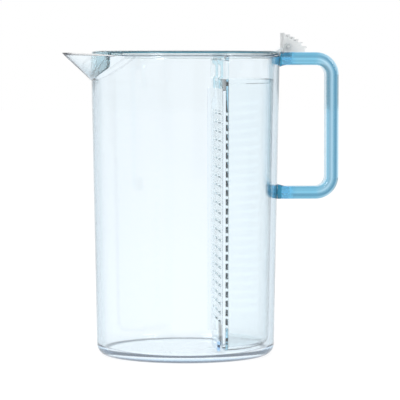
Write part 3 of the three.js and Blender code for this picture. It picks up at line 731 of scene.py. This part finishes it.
HANGER_SPREAD, HANGER_WIDTH, HANGER_THICK, HANGER_LAP = 21, 5, 1.7, 7.5
HANGER_BARB, HANGER_PEG = 1.8, 1.4
peg_height = STRAINER_TOP - HANGER_LAP / 2
holes = [
    rod(f"hole_{y}", "x", (y, peg_height), cut_front, cut_back, HANGER_PEG + SEAT_GAP)
    for y in (-HANGER_SPREAD, HANGER_SPREAD)
]
screen = combined(screen, "DIFFERENCE", one, *holes)
finish(screen, "insert", "strainer_screen")
print("slots:", rows * SLOT_COLUMNS)

# %% Hangers
hold_front, hold_back, hold_top = BAR_FRONT - SEAT_GAP, BAR_BACK + SEAT_GAP, BAR_TOP + SEAT_GAP
hook_front, hook_back = hold_front - HANGER_THICK, hold_back + HANGER_THICK
hook_top, shoulder = hold_top + HANGER_THICK, BAR_BOTTOM - SEAT_GAP
lap_back = SCREEN_FRONT - SEAT_GAP
lap_front, lap_top = lap_back - HANGER_THICK, STRAINER_TOP + SEAT_GAP
strap_outline = rounded([
    (lap_front, STRAINER_TOP - HANGER_LAP, 0.5), (lap_back, STRAINER_TOP - HANGER_LAP, 0.2),
    (lap_back, lap_top, 0), (SCREEN_BACK, lap_top, 0.3), (SCREEN_BACK, shoulder, 0.05),
    (hold_front, shoulder, 0), (hold_front, hold_top, 0.2),
    (hold_back, hold_top, 0.2), (hold_back, BAR_TOP - HANGER_BARB, 0.3),
    (hook_back, BAR_TOP - HANGER_BARB, 0.5), (hook_back, hook_top, 1.2),
    (hook_front, hook_top, 1.2), (hook_front, shoulder - HANGER_THICK, 0.3),
    (SCREEN_FRONT, shoulder - 2 * HANGER_THICK, 0.3), (SCREEN_FRONT, lap_top + HANGER_THICK, 0.3),
    (lap_front, lap_top, 0.5),
], 4)
for name, side_y in (("left", -HANGER_SPREAD), ("right", HANGER_SPREAD)):
    low, high = side_y - HANGER_WIDTH / 2, side_y + HANGER_WIDTH / 2
    strap = slab(f"strap_{name}", strap_outline, "y", low, high, 0.15)
    stud = rod(
        f"stud_{name}", "x", (side_y, peg_height), lap_back - SINK,
        lap_back + SCREEN_THICK + SEAT_GAP, HANGER_PEG,
    )
    finish(combined(strap, "UNION", stud), "insert", f"hanger_{name}")

# %% [markdown]
# ## The lid
#
# The lid is a thin disc with a rounded edge and a slight crown, a shallow rib that centres it in
# the ring, and a curved shield at the front that stands in the spout's mouth and narrows to a
# point. The disc and rib are turned. The shield is a stack of rings, each one an outer arc and an
# inner arc, whose half angle grows from the point to the lid as an S-curve. Its two ends are
# rounded off with a high power of the share of the way there.

# %% Lid
LID_INSET, LID_EDGE, CROWN, RIB_THICK, RIB_DEPTH, RIB_GAP, RIB_EDGE = 0.4, 3, 0.7, 1.8, 2, 1.1, 0.4
LID_RADIUS, RIB_OUTER = RIM_RADIUS - LID_INSET, SKIRT_INNER - RIB_GAP
rib_bottom = LID_BOTTOM - RIB_DEPTH
rib_low = rib_bottom + RIB_EDGE
crowned = (LID_RADIUS - LID_EDGE) * np.linspace(1, 0.02, 16)[1:]
disc = filled("lid_disc", np.vstack([
    [(RIB_OUTER - RIB_THICK, LID_BOTTOM)],
    arc((RIB_OUTER - RIB_THICK + RIB_EDGE, rib_low), RIB_EDGE, 180, 270, 3),
    arc((RIB_OUTER - RIB_EDGE, rib_low), RIB_EDGE, -90, 0, 3),
    [(RIB_OUTER, LID_BOTTOM)],
    arc((LID_RADIUS - LID_EDGE, LID_BOTTOM), (LID_EDGE, LID_THICK), 0, 90, 16),
    np.stack([crowned, LID_TOP + CROWN * (1 - (crowned / (LID_RADIUS - LID_EDGE)) ** 2)], -1),
]), 320)

SHIELD_THICK, SHIELD_INSET, SHIELD_DROP = 4.3, 0.3, 2
SHIELD_TOP, SHIELD_POINT, SHIELD_FULL_AT = np.radians(33), np.radians(4), 0.6
shield_outer = LID_RADIUS - SHIELD_INSET
share = np.linspace(0, 1, 41)
point = SPOUT_ROOT - SHIELD_DROP
height = point + (LID_BOTTOM + LID_THICK / 2 - point) * share
rise = np.minimum(height, JUG_HEIGHT)
half = SHIELD_POINT + (SHIELD_TOP - SHIELD_POINT) * smooth(share / SHIELD_FULL_AT)
shield_radius = np.minimum(shield_outer, inner_nose(rise) - MOUTH_GAP)


def mouth_half_angle(radius, height):
    """The largest angle from the nose at which a radius still clears the spout's inner wall."""
    round_part = inner_round(height)
    tangent = np.arccos(np.minimum(1, round_part / inner_nose(height)))
    limit = np.arccos(np.minimum(1, round_part / (radius + MOUTH_GAP)))
    turn = SPOUT_FLARE * np.maximum(0, tangent - limit)
    return np.sqrt((turn + NOSE_ANGLE) ** 2 - NOSE_ANGLE ** 2)


outer_half = np.minimum(half, np.maximum(SHIELD_POINT / 2, mouth_half_angle(shield_radius, rise)))
sweep = np.sin(np.linspace(-np.pi / 2, np.pi / 2, 45))[None]
thick = SHIELD_THICK * (1 - 0.6 * sweep ** 20)
rings = [
    (shield_radius[:, None], outer_half[:, None] * sweep),
    (shield_outer - thick[:, ::-1], half[:, None] * sweep[:, ::-1]),
]
shield = skin("shield", np.concatenate([about_axis(r, a, height[:, None]) for r, a in rings], 1))
notch_half = LUG_OUTER + 2 * HINGE_GAP + SEAT_GAP
notch = box(
    "notch", (NOTCH_FRONT, -notch_half, rib_bottom - OVERRUN),
    (FAR, notch_half, LID_TOP + OVERRUN), 0.3,
)
rib_break = rectangle((NOTCH_FRONT - OVERRUN, -notch_half), (FAR, notch_half))
rib_break = slab("rib_break", rib_break, "z", rib_bottom - OVERRUN, LID_BOTTOM, 0)
lid = combined(combined(disc, "DIFFERENCE", notch, rib_break), "UNION", shield)
finish(lid, "lid", "lid_plate")

# %% [markdown]
# ## The thumb lever
#
# The thumb presses a ridged fan over the handle's root, and the lid swings up about the pin. Two
# cheeks stand beside the handle, a ridged skin joins them, a post closes the front and a tongue
# laps under the lid. Cheeks, skin and post are one block with the ridged outline, hollowed out
# from below, so that each ridge runs across in one smooth surface. The ridged edge is one curve:
# the fan's radius, which swells towards both ends, less a valley that opens and closes as an
# S-curve between ridges. Each valley runs on down the cheeks as a tapering flute.

# %% Thumb lever
FAN_OUT, FAN_BELOW = 0.6, 2.7
FAN_X, FAN_Z = PIN_X + FAN_OUT, PIN_Z - FAN_BELOW
FAN_RADIUS, FAN_SWELL, RIDGE_DEPTH, RIDGES, BRIDGED = 10.8, 3.2, 2.4, 6, 4
FAN_START, FAN_END = np.radians(107), np.radians(11)
RIDGE_PITCH = (FAN_START - FAN_END) / (RIDGES - 1)
SKIN_THICK, POST_THICK = 1.8, 1.8


def fan_radius(angle):
    """The fan's radius without its valleys."""
    middle = (FAN_START + FAN_END) / 2
    return FAN_RADIUS + FAN_SWELL * ((angle - middle) / (FAN_START - middle)) ** 2


def fan_points(radius, angle):
    return np.stack([FAN_X + radius * np.cos(angle), FAN_Z + radius * np.sin(angle)], -1)


def ridged_edge(last):
    """The edge from the front ridge to an angle: valleys start an eighth of a pitch from a ridge
    and are full from a third of a pitch."""
    angle = np.linspace(FAN_START, last, int(round((FAN_START - last) / RIDGE_PITCH * 20)) + 1)
    phase = np.abs((FAN_START - angle) / RIDGE_PITCH % 1 - 0.5)
    valley = smooth((0.375 - phase) / (0.375 - 1 / 6))
    return fan_points(fan_radius(angle) - RIDGE_DEPTH * valley, angle)


def tapered(name, start, end, radii, facets=24):
    """A round rod between two points, whose radius changes evenly from one to the other."""
    start, end = np.array(start, float), np.array(end, float)
    side = np.cross(end - start, (0, 1, 0))
    side /= np.linalg.norm(side)
    other = np.cross(end - start, side)
    other /= np.linalg.norm(other)
    angle = np.linspace(0, 2 * np.pi, facets, endpoint=False)[None, :, None]
    share = np.array([0, 1])[:, None, None]
    radius = radii[0] + (radii[1] - radii[0]) * share
    ring = np.cos(angle) * side + np.sin(angle) * other
    return skin(name, start + (end - start) * share + radius * ring, flat_ends=True)


front_x = FAN_X + fan_radius(FAN_START) * np.cos(FAN_START)
edge = ridged_edge(FAN_END - RIDGE_PITCH / 3)
fan = slab("lever", np.vstack([
    [(front_x, HANDLE_TOP)], edge, [(edge[-1, 0], HANDLE_TOP)],
]), "y", -CHEEK_OUTER, CHEEK_OUTER, 0)

post_bottom, post_back = HANDLE_TOP + HINGE_GAP, front_x + POST_THICK
bridge_end = FAN_START - (BRIDGED - 1) * RIDGE_PITCH - RIDGE_PITCH / 3
under = np.linspace(bridge_end, FAN_START, 24)
roof = fan_points(fan_radius(under) - RIDGE_DEPTH - SKIN_THICK, under)
roof = roof[roof[:, 0] > post_back]
beyond = fan_points(3 * FAN_RADIUS, bridge_end)
hollow = slab("hollow", np.vstack([
    [(front_x - OVERRUN, HANDLE_TOP - OVERRUN), (beyond[0], HANDLE_TOP - OVERRUN), beyond],
    roof, [(post_back, roof[-1, 1]), (post_back, post_bottom), (front_x - OVERRUN, post_bottom)],
]), "y", -CHEEK_INNER, CHEEK_INNER, 0)

FLUTE_START, FLUTE_END, FLUTE_RADII, FLUTE_DEPTHS = 6, 17, (0.35, 1.6), (0.05, 0.6)


def flute(name, angle, side):
    """A cone that cuts a flute into a cheek: its middle lies radius - depth off the face."""
    ends = fan_points(np.array([FLUTE_START, FLUTE_END]), angle)
    off = CHEEK_OUTER + np.array(FLUTE_RADII) - np.array(FLUTE_DEPTHS)
    places = np.stack([ends[:, 0], side * off, ends[:, 1]], -1)
    return tapered(name, places[0], places[1], FLUTE_RADII)


flutes = [
    flute(f"flute_{k}_{side}", FAN_START - (k + 0.5) * RIDGE_PITCH, side)
    for k in range(RIDGES - 1) for side in (-1, 1)
]
lap_level = LID_BOTTOM - SEAT_GAP
TONGUE_THICK, TONGUE_LAP, TONGUE_RISE = 1.7, 12, 2.6
tongue = slab("tongue", rounded([
    (UPRIGHT_FRONT - TONGUE_LAP, lap_level - TONGUE_THICK, 0.3),
    (UPRIGHT_BACK, lap_level - TONGUE_THICK, 0.5), (UPRIGHT_BACK, LID_BOTTOM, 0.1),
    (RIM_RADIUS - TONGUE_STEP, LID_BOTTOM, 0), (RIM_RADIUS, post_bottom, 0.5),
    (post_back, post_bottom, 0), (post_back, post_bottom + TONGUE_RISE, 0),
    (front_x, post_bottom + TONGUE_RISE, 1), (RIM_RADIUS - TONGUE_STEP, LID_TOP, 1),
    (UPRIGHT_FRONT, LID_TOP, 0.3), (UPRIGHT_FRONT, lap_level, 0),
    (UPRIGHT_FRONT - TONGUE_LAP, lap_level, 0.3),
], 4), "y", -TONGUE_HALF, TONGUE_HALF, 0.2)
lever = combined(combined(fan, "DIFFERENCE", hollow, pin_bore(), *flutes), "UNION", tongue)
finish(lever, "lid", "thumb_lever")

# %% Hinge pin
pin_end = LUG_OUTER + SEAT_GAP
pin = rod("pin", "y", (PIN_X, PIN_Z), -pin_end, pin_end, PIN_RADIUS, 48, 0.35)
finish(pin, "insert", "hinge_pin")

# %% [markdown]
# ## Shader maths as Python
#
# Patterns such as smudges and moulding ripples are sums and products of noise values. A small
# class wraps a socket, so that 1 - mask * 0.3 reads as it does on paper and adds its Math nodes.


# %% Node helpers
def maths(operation, reflected=False):
    """A method that adds one Math node. A reflected one has its amount on the right."""
    def method(self, other=0.0):
        first, second = (other, self) if reflected else (self, other)
        node = self.nodes.add("ShaderNodeMath", {0: first, 1: second}, operation=operation)
        return Amount(self.nodes, node.outputs[0])
    return method


class Amount:
    """A socket of numbers with the operators of plain arithmetic."""

    def __init__(self, nodes, socket):
        self.nodes, self.socket = nodes, socket

    __add__, __radd__ = maths("ADD"), maths("ADD", reflected=True)
    __sub__, __rsub__ = maths("SUBTRACT"), maths("SUBTRACT", reflected=True)
    __mul__, __rmul__ = maths("MULTIPLY"), maths("MULTIPLY", reflected=True)
    __truediv__, __pow__, __abs__ = maths("DIVIDE"), maths("POWER"), maths("ABSOLUTE")
    at_most, at_least = maths("MINIMUM"), maths("MAXIMUM")
    cosine, arccosine, angle_from = maths("COSINE"), maths("ARCCOSINE"), maths("ARCTAN2")

    def between(self, start, end):
        """0 at the start, 1 at the end, and held beyond both."""
        return ((self - start) * (1 / (end - start))).at_least(0).at_most(1)


Place = namedtuple("Place", "reach height towards")


class Nodes:
    """A node tree that is emptied, then grown one node at a time."""

    def __init__(self, owner):
        owner.use_nodes = True
        self.tree = owner.node_tree
        self.tree.nodes.clear()

    def add(self, kind, values=None, **settings):
        """Adds a node: its settings are set first, then its sockets get values, or links to an
        amount, a socket or another node's first output. A colour is three numbers."""
        node = self.tree.nodes.new(kind)
        for name, value in settings.items():
            setattr(node, name, value)
        for name, value in (values or {}).items():
            socket = node.inputs[name]
            if isinstance(value, Amount):
                value = value.socket
            elif isinstance(value, bpy.types.Node):
                value = value.outputs[0]
            if isinstance(value, bpy.types.NodeSocket):
                self.tree.links.new(value, socket)
            else:
                socket.default_value = (*value, 1) if socket.type == "RGBA" else value
        return node

    def stretched(self, stretch):
        """Object coordinates, in metres, stretched along X, Y and Z."""
        here = self.add("ShaderNodeTexCoord").outputs["Object"]
        return self.add("ShaderNodeMapping", {"Vector": here, "Scale": stretch}).outputs[0]

    def parts(self, vector):
        """The X, Y and Z of a vector."""
        node = self.add("ShaderNodeSeparateXYZ", {0: vector})
        return [Amount(self, out) for out in node.outputs]

    def where(self):
        """The distance from the jug's axis, the height above its foot and the distance towards
        the handle, in millimetres."""
        x, y, z = self.parts(self.stretched((1 / MM, 1 / MM, 1 / MM)))
        return Place((x * x + y * y) ** 0.5, z, x)

    def noise(self, scale, detail, rough=0.5, stretch=(1, 1, 1)):
        """Noise from 0 to 1, with so many blobs to the metre."""
        node = self.add("ShaderNodeTexNoise", {
            "Vector": self.stretched(stretch), "Scale": scale, "Detail": detail,
            "Roughness": rough,
        })
        return Amount(self, node.outputs["Fac"])

    def mix(self, share, first, second):
        """A colour between two colours."""
        node = self.add("ShaderNodeMix", {0: share, 6: first, 7: second}, data_type="RGBA")
        return node.outputs[2]


# %% [markdown]
# ## Tinted plastics
#
# Clear plastic has almost no colour of its own surface. Its colour comes from how far light
# travels inside it, which is why the rim and the base's edge look deeper blue than the wall. So
# each plastic is a refracting surface over an absorbing volume: the density says how much each
# metre takes away. On the surface, noise gives what use and moulding leave behind: faint smudges
# in the roughness, long ripples in the bump and fine rubbing marks.
# On top of that, painted shade deepens the tint where a surface turns away, and painted shade and a
# painted highlight are laid on the rims, the foot, the spout and the handle.

# %% Plastic
BOND_CLEAR = 0.85  # the share of light that goes straight on through the adhesive


def plastic(name, clean, worn, edge, absorbed, density, through=1.0, gloss=0.03, smudge=0.07,
            turned_away=(0.55, 1.0), overlays=(), tinted=(), bonded=None, outer=None, ior=1.5):
    """A refracting plastic over an absorbing volume. Its tint goes from clean to worn in the
    smudges and to edge where the surface turns away, there scaled by outer: that darker edge is
    painted shade, added to what the volume absorbs. Its roughness rises in the smudges and rubbing
    marks, and its bump holds a moulded ripple. What isn't let through is scattered by the tint. Each
    of tinted is a share and a colour that the tint goes towards, some of them painted shade. Each of
    overlays is a share and a colour too: there a scattering surface of that colour is mixed in, as
    at the deep edge of a tinted plate, at bonds and in frosting, and as painted shade and painted
    highlights. Where bonded gives 1, adhesive fills the gap to the other plastic."""
    material = bpy.data.materials.new(name)
    nodes = Nodes(material)
    where = nodes.where()
    smudges = nodes.noise(28, 4, 0.6)
    rubs = (nodes.noise(900, 2, stretch=(1, 1, 0.04)) - 0.62).at_least(0) * 2
    rough = gloss + smudge * smudges ** 3 + rubs * 0.08
    ripple = nodes.noise(14, 1, 0.4) + nodes.noise(60, 2, 0.4) * 0.12 + rubs * 0.02
    bump = nodes.add("ShaderNodeBump", {"Strength": 0.03, "Distance": 0.004, "Height": ripple})
    weight = nodes.add("ShaderNodeLayerWeight", {"Blend": 0.5})
    # Painted shade: where the surface turns away from the ray, the tint goes towards the darker edge
    # colour, on top of what the volume absorbs.
    away = Amount(nodes, weight.outputs["Facing"]).between(*turned_away) ** 1.5
    if outer:
        away = away * outer(where)
    tint = nodes.mix((smudges ** 2).at_most(1), clean, worn)
    for share, colour in tinted:
        tint = nodes.mix(share(where), tint, colour)
    shader = nodes.add("ShaderNodeBsdfPrincipled", {
        "Base Color": nodes.mix(away, tint, edge), "Roughness": rough, "Normal": bump,
        "IOR": ior, "Transmission Weight": through,
        "Alpha": 1 - BOND_CLEAR * bonded(where) if bonded else 1.0,
    })
    for share, colour in overlays:
        darker = tuple(0.85 * c for c in colour)
        scattering = nodes.add("ShaderNodeBsdfPrincipled", {
            "Base Color": nodes.mix(smudges, colour, darker), "Roughness": rough + 0.12,
            "Normal": bump, "IOR": 1.5,
        })
        shader = nodes.add("ShaderNodeMixShader", {0: share(where), 1: shader, 2: scattering})
    volume = nodes.add("ShaderNodeVolumeAbsorption", {"Color": absorbed, "Density": density})
    nodes.add("ShaderNodeOutputMaterial", {"Surface": shader, "Volume": volume})
    return material


# %% [markdown]
# Where a plate of tinted plastic ends, its edge looks deeper than its face, because light runs
# inside it to that edge: the lid's rim gets such an edge. The other marks are painted shade: a
# dark band on the jug's rim in the gap under the ring and one under the ring's flange, a dark
# ring round the foot, partly the tinted edge, and grey lines along the spout's nose and where the
# spout leaves the round wall. The spout's cut rim gets a painted highlight. On the handle painted
# shade makes the arms deeper than the upright side and lays dark bands along the flanks beside a
# pale middle, most of all on the outer side, and the bonded roots are deepest. Each function gives
# a share from 0 to 1 at a place, which is a distance from the jug's axis, a height and a distance
# towards the handle.


# %% Where the tints change
def outer_face(at):
    """How much of the painted edge shade shows: 1 on the wall's outer face and 0.3 on its inner one.
    """
    off = at.reach - outer_round(at.height)
    return 0.3 + 0.7 * off.between(-WALL / 2 - 0.2, -WALL / 2)


# Painted shade: a dark band on the jug's rim, in the gap under the ring, and a dark ring round the
# foot where it stands on the floor, there partly the deeper tinted edge.
def painted_rim_and_foot_shade(at):
    rim = at.height.between(JUG_HEIGHT - 0.7, JUG_HEIGHT - 0.35)
    rim = rim * at.reach.between(RIM_RADIUS + 0.6, RIM_RADIUS)
    foot = at.height.between(3.2, 1.8)
    foot = foot * at.reach.between(BASE_RADIUS - 9.5, BASE_RADIUS - BASE_EDGE)
    return (rim + foot) * 0.75


# Painted shade: a grey line along the spout's nose.
def nose(at):
    """Along the spout's nose a place lies almost straight towards -X: reach + towards is small,
    about width^2 / (2 * reach)."""
    line = (at.reach + at.towards).between(0.03, 0.01)
    return line * at.height.between(SPOUT_ROOT - 1, SPOUT_ROOT + 2) * 0.75


def from_nose(at):
    """The angle from the spout's nose, in radians."""
    return (at.towards * -1 / at.reach).arccosine()


def painted_crease_shade(at):
    """Painted shade: a faint grey line where the spout leaves the round wall. Its angle from the
    nose is the flare times acos(round / nose), plus the nose's own angle, as in the jug's wall."""
    round_part = outer_round(at.height)
    rise = (at.height - SPOUT_ROOT).at_least(0)
    ratio = round_part / (round_part + SPOUT_SLOPE * rise)
    border = SPOUT_FLARE * ratio.arccosine() + NOSE_ANGLE
    off = (from_nose(at) - border) * RIM_RADIUS
    return abs(off).between(0.9, 0.3) * rise.between(0.5, 3) * 0.22


def painted_spout_rim_highlight(at):
    """Painted highlight: a white surface makes the spout's cut edge paler than the rest of the rim,
    but for its tip. The rim is lifted towards the nose, as in the jug's wall."""
    share = (1 - from_nose(at) * (1 / MOUTH_ANGLE)).at_least(0)
    lifted = JUG_HEIGHT + SPOUT_RISE * share * share * (3 - 2 * share)
    rim = (at.height - lifted).between(-1.1, -0.8)
    rim = rim * at.reach.between(RIM_RADIUS + 0.8, RIM_RADIUS + 2)
    return rim * at.towards.between(-91, -86) * 0.85


# Painted shade: a dark band under the ring's flange, in the gap over the jug's rim.
def painted_flange_gap_shade(at):
    under = at.height.between(FLANGE_BOTTOM + 0.5, FLANGE_BOTTOM + 0.2)
    return under * at.reach.between(SKIRT_OUTER + 2, SKIRT_OUTER + 2.6) * 0.6


def lid_edge(at):
    """Deepest in the middle of the plate, paler towards the spout and the handle."""
    rim = at.reach.between(LID_RADIUS - 1.6, LID_RADIUS - 0.5)
    rim = rim * at.height.between(LID_BOTTOM - 0.2, LID_BOTTOM)
    rim = rim * (0.25 + 0.6 * at.towards.between(-62, -38))
    return rim * (1 - 0.35 * at.towards.between(35, 60))


def on_shield(at):
    return at.height.between(LID_BOTTOM, LID_BOTTOM - 0.4) * at.towards.between(-50, -52)


def shield_haze(at):
    return on_shield(at) * 0.12


def off_line(at):
    """How far a place is outside the handle's middle line, a loop with round corners:
    length(max(q, 0)) + min(max(qx, qz), 0) - bend, where q is how far the place is beyond the
    middle of the corner's arc. It is less than 0 on the loop's inner side."""
    middle, half = (UPPER_ARM + LOWER_ARM) / 2, (UPPER_ARM - LOWER_ARM) / 2
    qx, qz = at.towards - BEND_X, abs(at.height - middle) - (half - HANDLE_BEND)
    outside = (qx.at_least(0) ** 2 + qz.at_least(0) ** 2) ** 0.5
    return outside + qx.at_least(qz).at_most(0) - HANDLE_BEND


PEG_TIP = RIM_RADIUS + PEG_REACH


def in_bores(at):
    """The pegs and the bores that they stand in, but not the handle's outside: reach^2 -
    towards^2 is the square of the distance from the middle plane."""
    near = abs(off_line(at)).between(3.1, 2.6)
    near = near * (at.reach ** 2 - at.towards ** 2).between(6 ** 2, 5.5 ** 2)
    near = near * at.towards.between(RIM_RADIUS + 0.5, RIM_RADIUS + 0.8)
    return near * at.towards.between(PEG_TIP + 1, PEG_TIP + 0.5)


def on_pegs(at):
    return at.towards.between(RIM_RADIUS + 0.6, RIM_RADIUS + 1.6)


def end_face(at):
    """The faces of the handle that are bonded to the wall."""
    return at.towards.between(RIM_RADIUS + 1.3, RIM_RADIUS + 0.9) * 0.8


def arms(at):
    """Painted shade: the two arms are deeper in colour than the upright side."""
    return 1 - at.towards.between(BEND_X, HANDLE_RIGHT - 4)


def roots(at):
    """The arms are deepest where they are bonded to their pegs."""
    return at.towards.between(PEG_TIP + 4, PEG_TIP - 1)


def painted_flank_shade(at):
    """Painted shade: the bar is pale along its middle and deep beside it, most of all on the outer
    side, as a lit round rod is shaded. A flank is 1 - ((off - middle) / half width)^2 where that
    is above 0. Over the pegs it fades."""
    off = off_line(at)
    outer, inner = (
        (1 - ((off - middle) * (1 / half)) ** 2).at_least(0)
        for middle, half in ((2.3, 2.1), (-1.9, 1.3))
    )
    return (outer + inner * 0.6) * (1 - 0.7 * at.towards.between(PEG_TIP + 1, PEG_TIP))


def milky(at):
    """The thumb lever is frosted all over, a little more towards its ridges."""
    return 0.62 + 0.08 * at.height.between(PIN_Z, PIN_Z + 10)


# %% The seven plastics
jug_plastic = plastic(
    "jug_plastic", (0.985, 1, 1), (0.97, 0.99, 1), (0.35, 0.52, 0.62), (0.12, 0.56, 0.9), 18,
    turned_away=(0.5, 0.8), outer=outer_face, bonded=in_bores,
    # overlays: painted shade on the rim, foot, nose and spout's bend, and a painted highlight on the
    # spout's rim
    overlays=[
        (painted_rim_and_foot_shade, (0.09, 0.16, 0.28)), (nose, (0.28, 0.3, 0.38)),
        (painted_crease_shade, (0.4, 0.46, 0.52)), (painted_spout_rim_highlight, (1, 1, 1)),
    ],
    tinted=[(on_pegs, (0.2, 0.6, 0.82))],
)
ring_plastic = plastic(
    "ring_plastic", (0.99, 1, 1), (0.97, 0.99, 1), (0.7, 0.84, 0.92), (0.3, 0.72, 0.88), 6,
    # the flange overlay is painted shade in the gap under the flange
    overlays=[(painted_flange_gap_shade, (0.16, 0.22, 0.3))], ior=1.35,
)
strainer_plastic = plastic(
    "strainer_plastic", (0.99, 1, 1), (0.97, 0.99, 1), (0.72, 0.88, 0.95), (0.3, 0.72, 0.88), 10,
    ior=1.32,
)
strap_plastic = plastic(
    "strap_plastic", (0.8, 0.93, 0.96), (0.76, 0.9, 0.94), (0.3, 0.55, 0.64), (0.3, 0.72, 0.88),
    30, turned_away=(0.3, 0.95), ior=1.38,
)
handle_plastic = plastic(
    "handle_plastic", (0.92, 0.98, 1), (0.86, 0.96, 0.995), (0.4, 0.68, 0.82), (0.14, 0.7, 0.95),
    30, overlays=[(end_face, (0.03, 0.4, 0.65))], bonded=in_bores,
    # arms and flanks are painted shade; roots are the bonded roots' deeper colour
    tinted=[
        (arms, (0.36, 0.7, 0.83)), (roots, (0.22, 0.6, 0.82)), (painted_flank_shade, (0.15, 0.36, 0.48)),
    ],
)
lid_plastic = plastic(
    "lid_plastic", (0.98, 1, 1), (0.94, 0.98, 0.99), (0.6, 0.8, 0.9), (0.2, 0.78, 0.93), 14,
    through=0.98, overlays=[(lid_edge, (0.1, 0.3, 0.4)), (shield_haze, (0.82, 0.98, 1))],
    tinted=[(on_shield, (0.82, 0.94, 0.97))], ior=1.33,
)
lever_plastic = plastic(
    "lever_plastic", (1, 1, 1), (0.97, 0.975, 1), (0.9, 0.89, 0.94), (0.6, 0.8, 0.95), 3,
    through=0.9, gloss=0.3, smudge=0.15, overlays=[(milky, (0.97, 1, 1))], ior=1.3,
)
for piece, material in (
    ("jug", jug_plastic), ("handle_loop", handle_plastic), ("ring", ring_plastic),
    ("strainer_back", strainer_plastic), ("screen", strainer_plastic),
    ("strap_left", strap_plastic), ("strap_right", strap_plastic),
    ("lid_disc", lid_plastic), ("lever", lever_plastic), ("pin", lever_plastic),
):
    bpy.data.objects[piece].data.materials.append(material)
print("plastics:", len(bpy.data.materials))

# %% [markdown]
# ## Floor and light
#
# The photograph has a plain white ground. What the camera, a reflection or a refraction sees is
# white at a strength of 1, and a shadow still falls on the floor because part of its colour is a
# lit, diffuse surface. Two large soft lamps give the plastic its long highlights. Clear plastic
# shows only what it bends, so an even white room would leave it without edges: here the room is a
# tent of eight white panels with grey gaps between them, the same from eight sides, and the gaps
# draw the dark lines along walls and handle.

# %% Floor
GROUND = 8  # half the floor's width, in metres
floor_mesh = bpy.data.meshes.new("floor")
corners = [(x * GROUND, y * GROUND, 0) for x, y in ((-1, -1), (1, -1), (1, 1), (-1, 1))]
floor_mesh.from_pydata(corners, [], [(0, 1, 2, 3)])
floor = placed("floor", floor_mesh)
floor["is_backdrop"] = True


def ray_kinds(nodes):
    """1 for rays from the camera, and 1 for those from a reflection or a refraction."""
    path = nodes.add("ShaderNodeLightPath")
    kinds = ("Is Camera Ray", "Is Glossy Ray", "Is Transmission Ray")
    camera_ray, glossy, through = (Amount(nodes, path.outputs[kind]) for kind in kinds)
    return camera_ray, glossy.at_least(through)


WHITE = (1, 1, 1)
ground = bpy.data.materials.new("ground")
nodes = Nodes(ground)
camera_ray, bent_ray = ray_kinds(nodes)
lit = nodes.add("ShaderNodeBsdfDiffuse", {"Color": (0.85, 0.85, 0.86)})
glow = nodes.add("ShaderNodeEmission", {"Color": WHITE, "Strength": 1.2})
seen = camera_ray.at_least(bent_ray)
blend = nodes.add("ShaderNodeMixShader", {0: seen * 0.75, 1: lit, 2: glow})
nodes.add("ShaderNodeOutputMaterial", {"Surface": blend})
floor_mesh.materials.append(ground)

# %% World and lamps
PANELS, GAP_SHADE, TOP_SHADE, AMBIENT = 8, 0.35, 0.25, 0.6
world = bpy.data.worlds.new("studio")
bpy.context.scene.world = world
nodes = Nodes(world)
camera_ray, bent_ray = ray_kinds(nodes)
x, y, z = nodes.parts(nodes.add("ShaderNodeTexCoord").outputs["Generated"])
gap = ((x.angle_from(y) * PANELS).cosine() * -1).between(0.2, 0.7)
dimmed = (1 - TOP_SHADE * z.between(0.3, 0.8)) * (1 - GAP_SHADE * gap)
strength = AMBIENT * (1 - camera_ray.at_least(bent_ray)) + camera_ray + bent_ray * dimmed
sky = nodes.add("ShaderNodeBackground", {"Color": WHITE, "Strength": strength})
nodes.add("ShaderNodeOutputWorld", {"Surface": sky})


def lamp(name, place, width, tall, power):
    """A large area lamp that faces the middle of the jug."""
    data = bpy.data.lights.new(name, "AREA")
    data.shape, data.size, data.size_y, data.energy = "RECTANGLE", width, tall, power
    item = placed(name, data)
    item.location = place
    aim(item, Vector((0, 0, 0.13)) - item.location)


lamp("key", (-1.1, -1.2, 1.3), 0.5, 1.0, 14)
lamp("fill", (1.3, -0.9, 0.9), 0.4, 0.9, 8)
bpy.context.scene.view_settings.view_transform = "Standard"
print("panels:", PANELS, "lamps:", len(bpy.data.lights))

# %% [markdown]
# ## Sizes, and the last line
#
# The looks must stay inside the CAD model's box, so both boxes are printed.

# %% Write the two boxes
boxes = {"cad": CAD_BOX, "visual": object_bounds()}
for key, pair in boxes.items():
    print(key, [[round(c / MM, 2) for c in corner] for corner in pair])
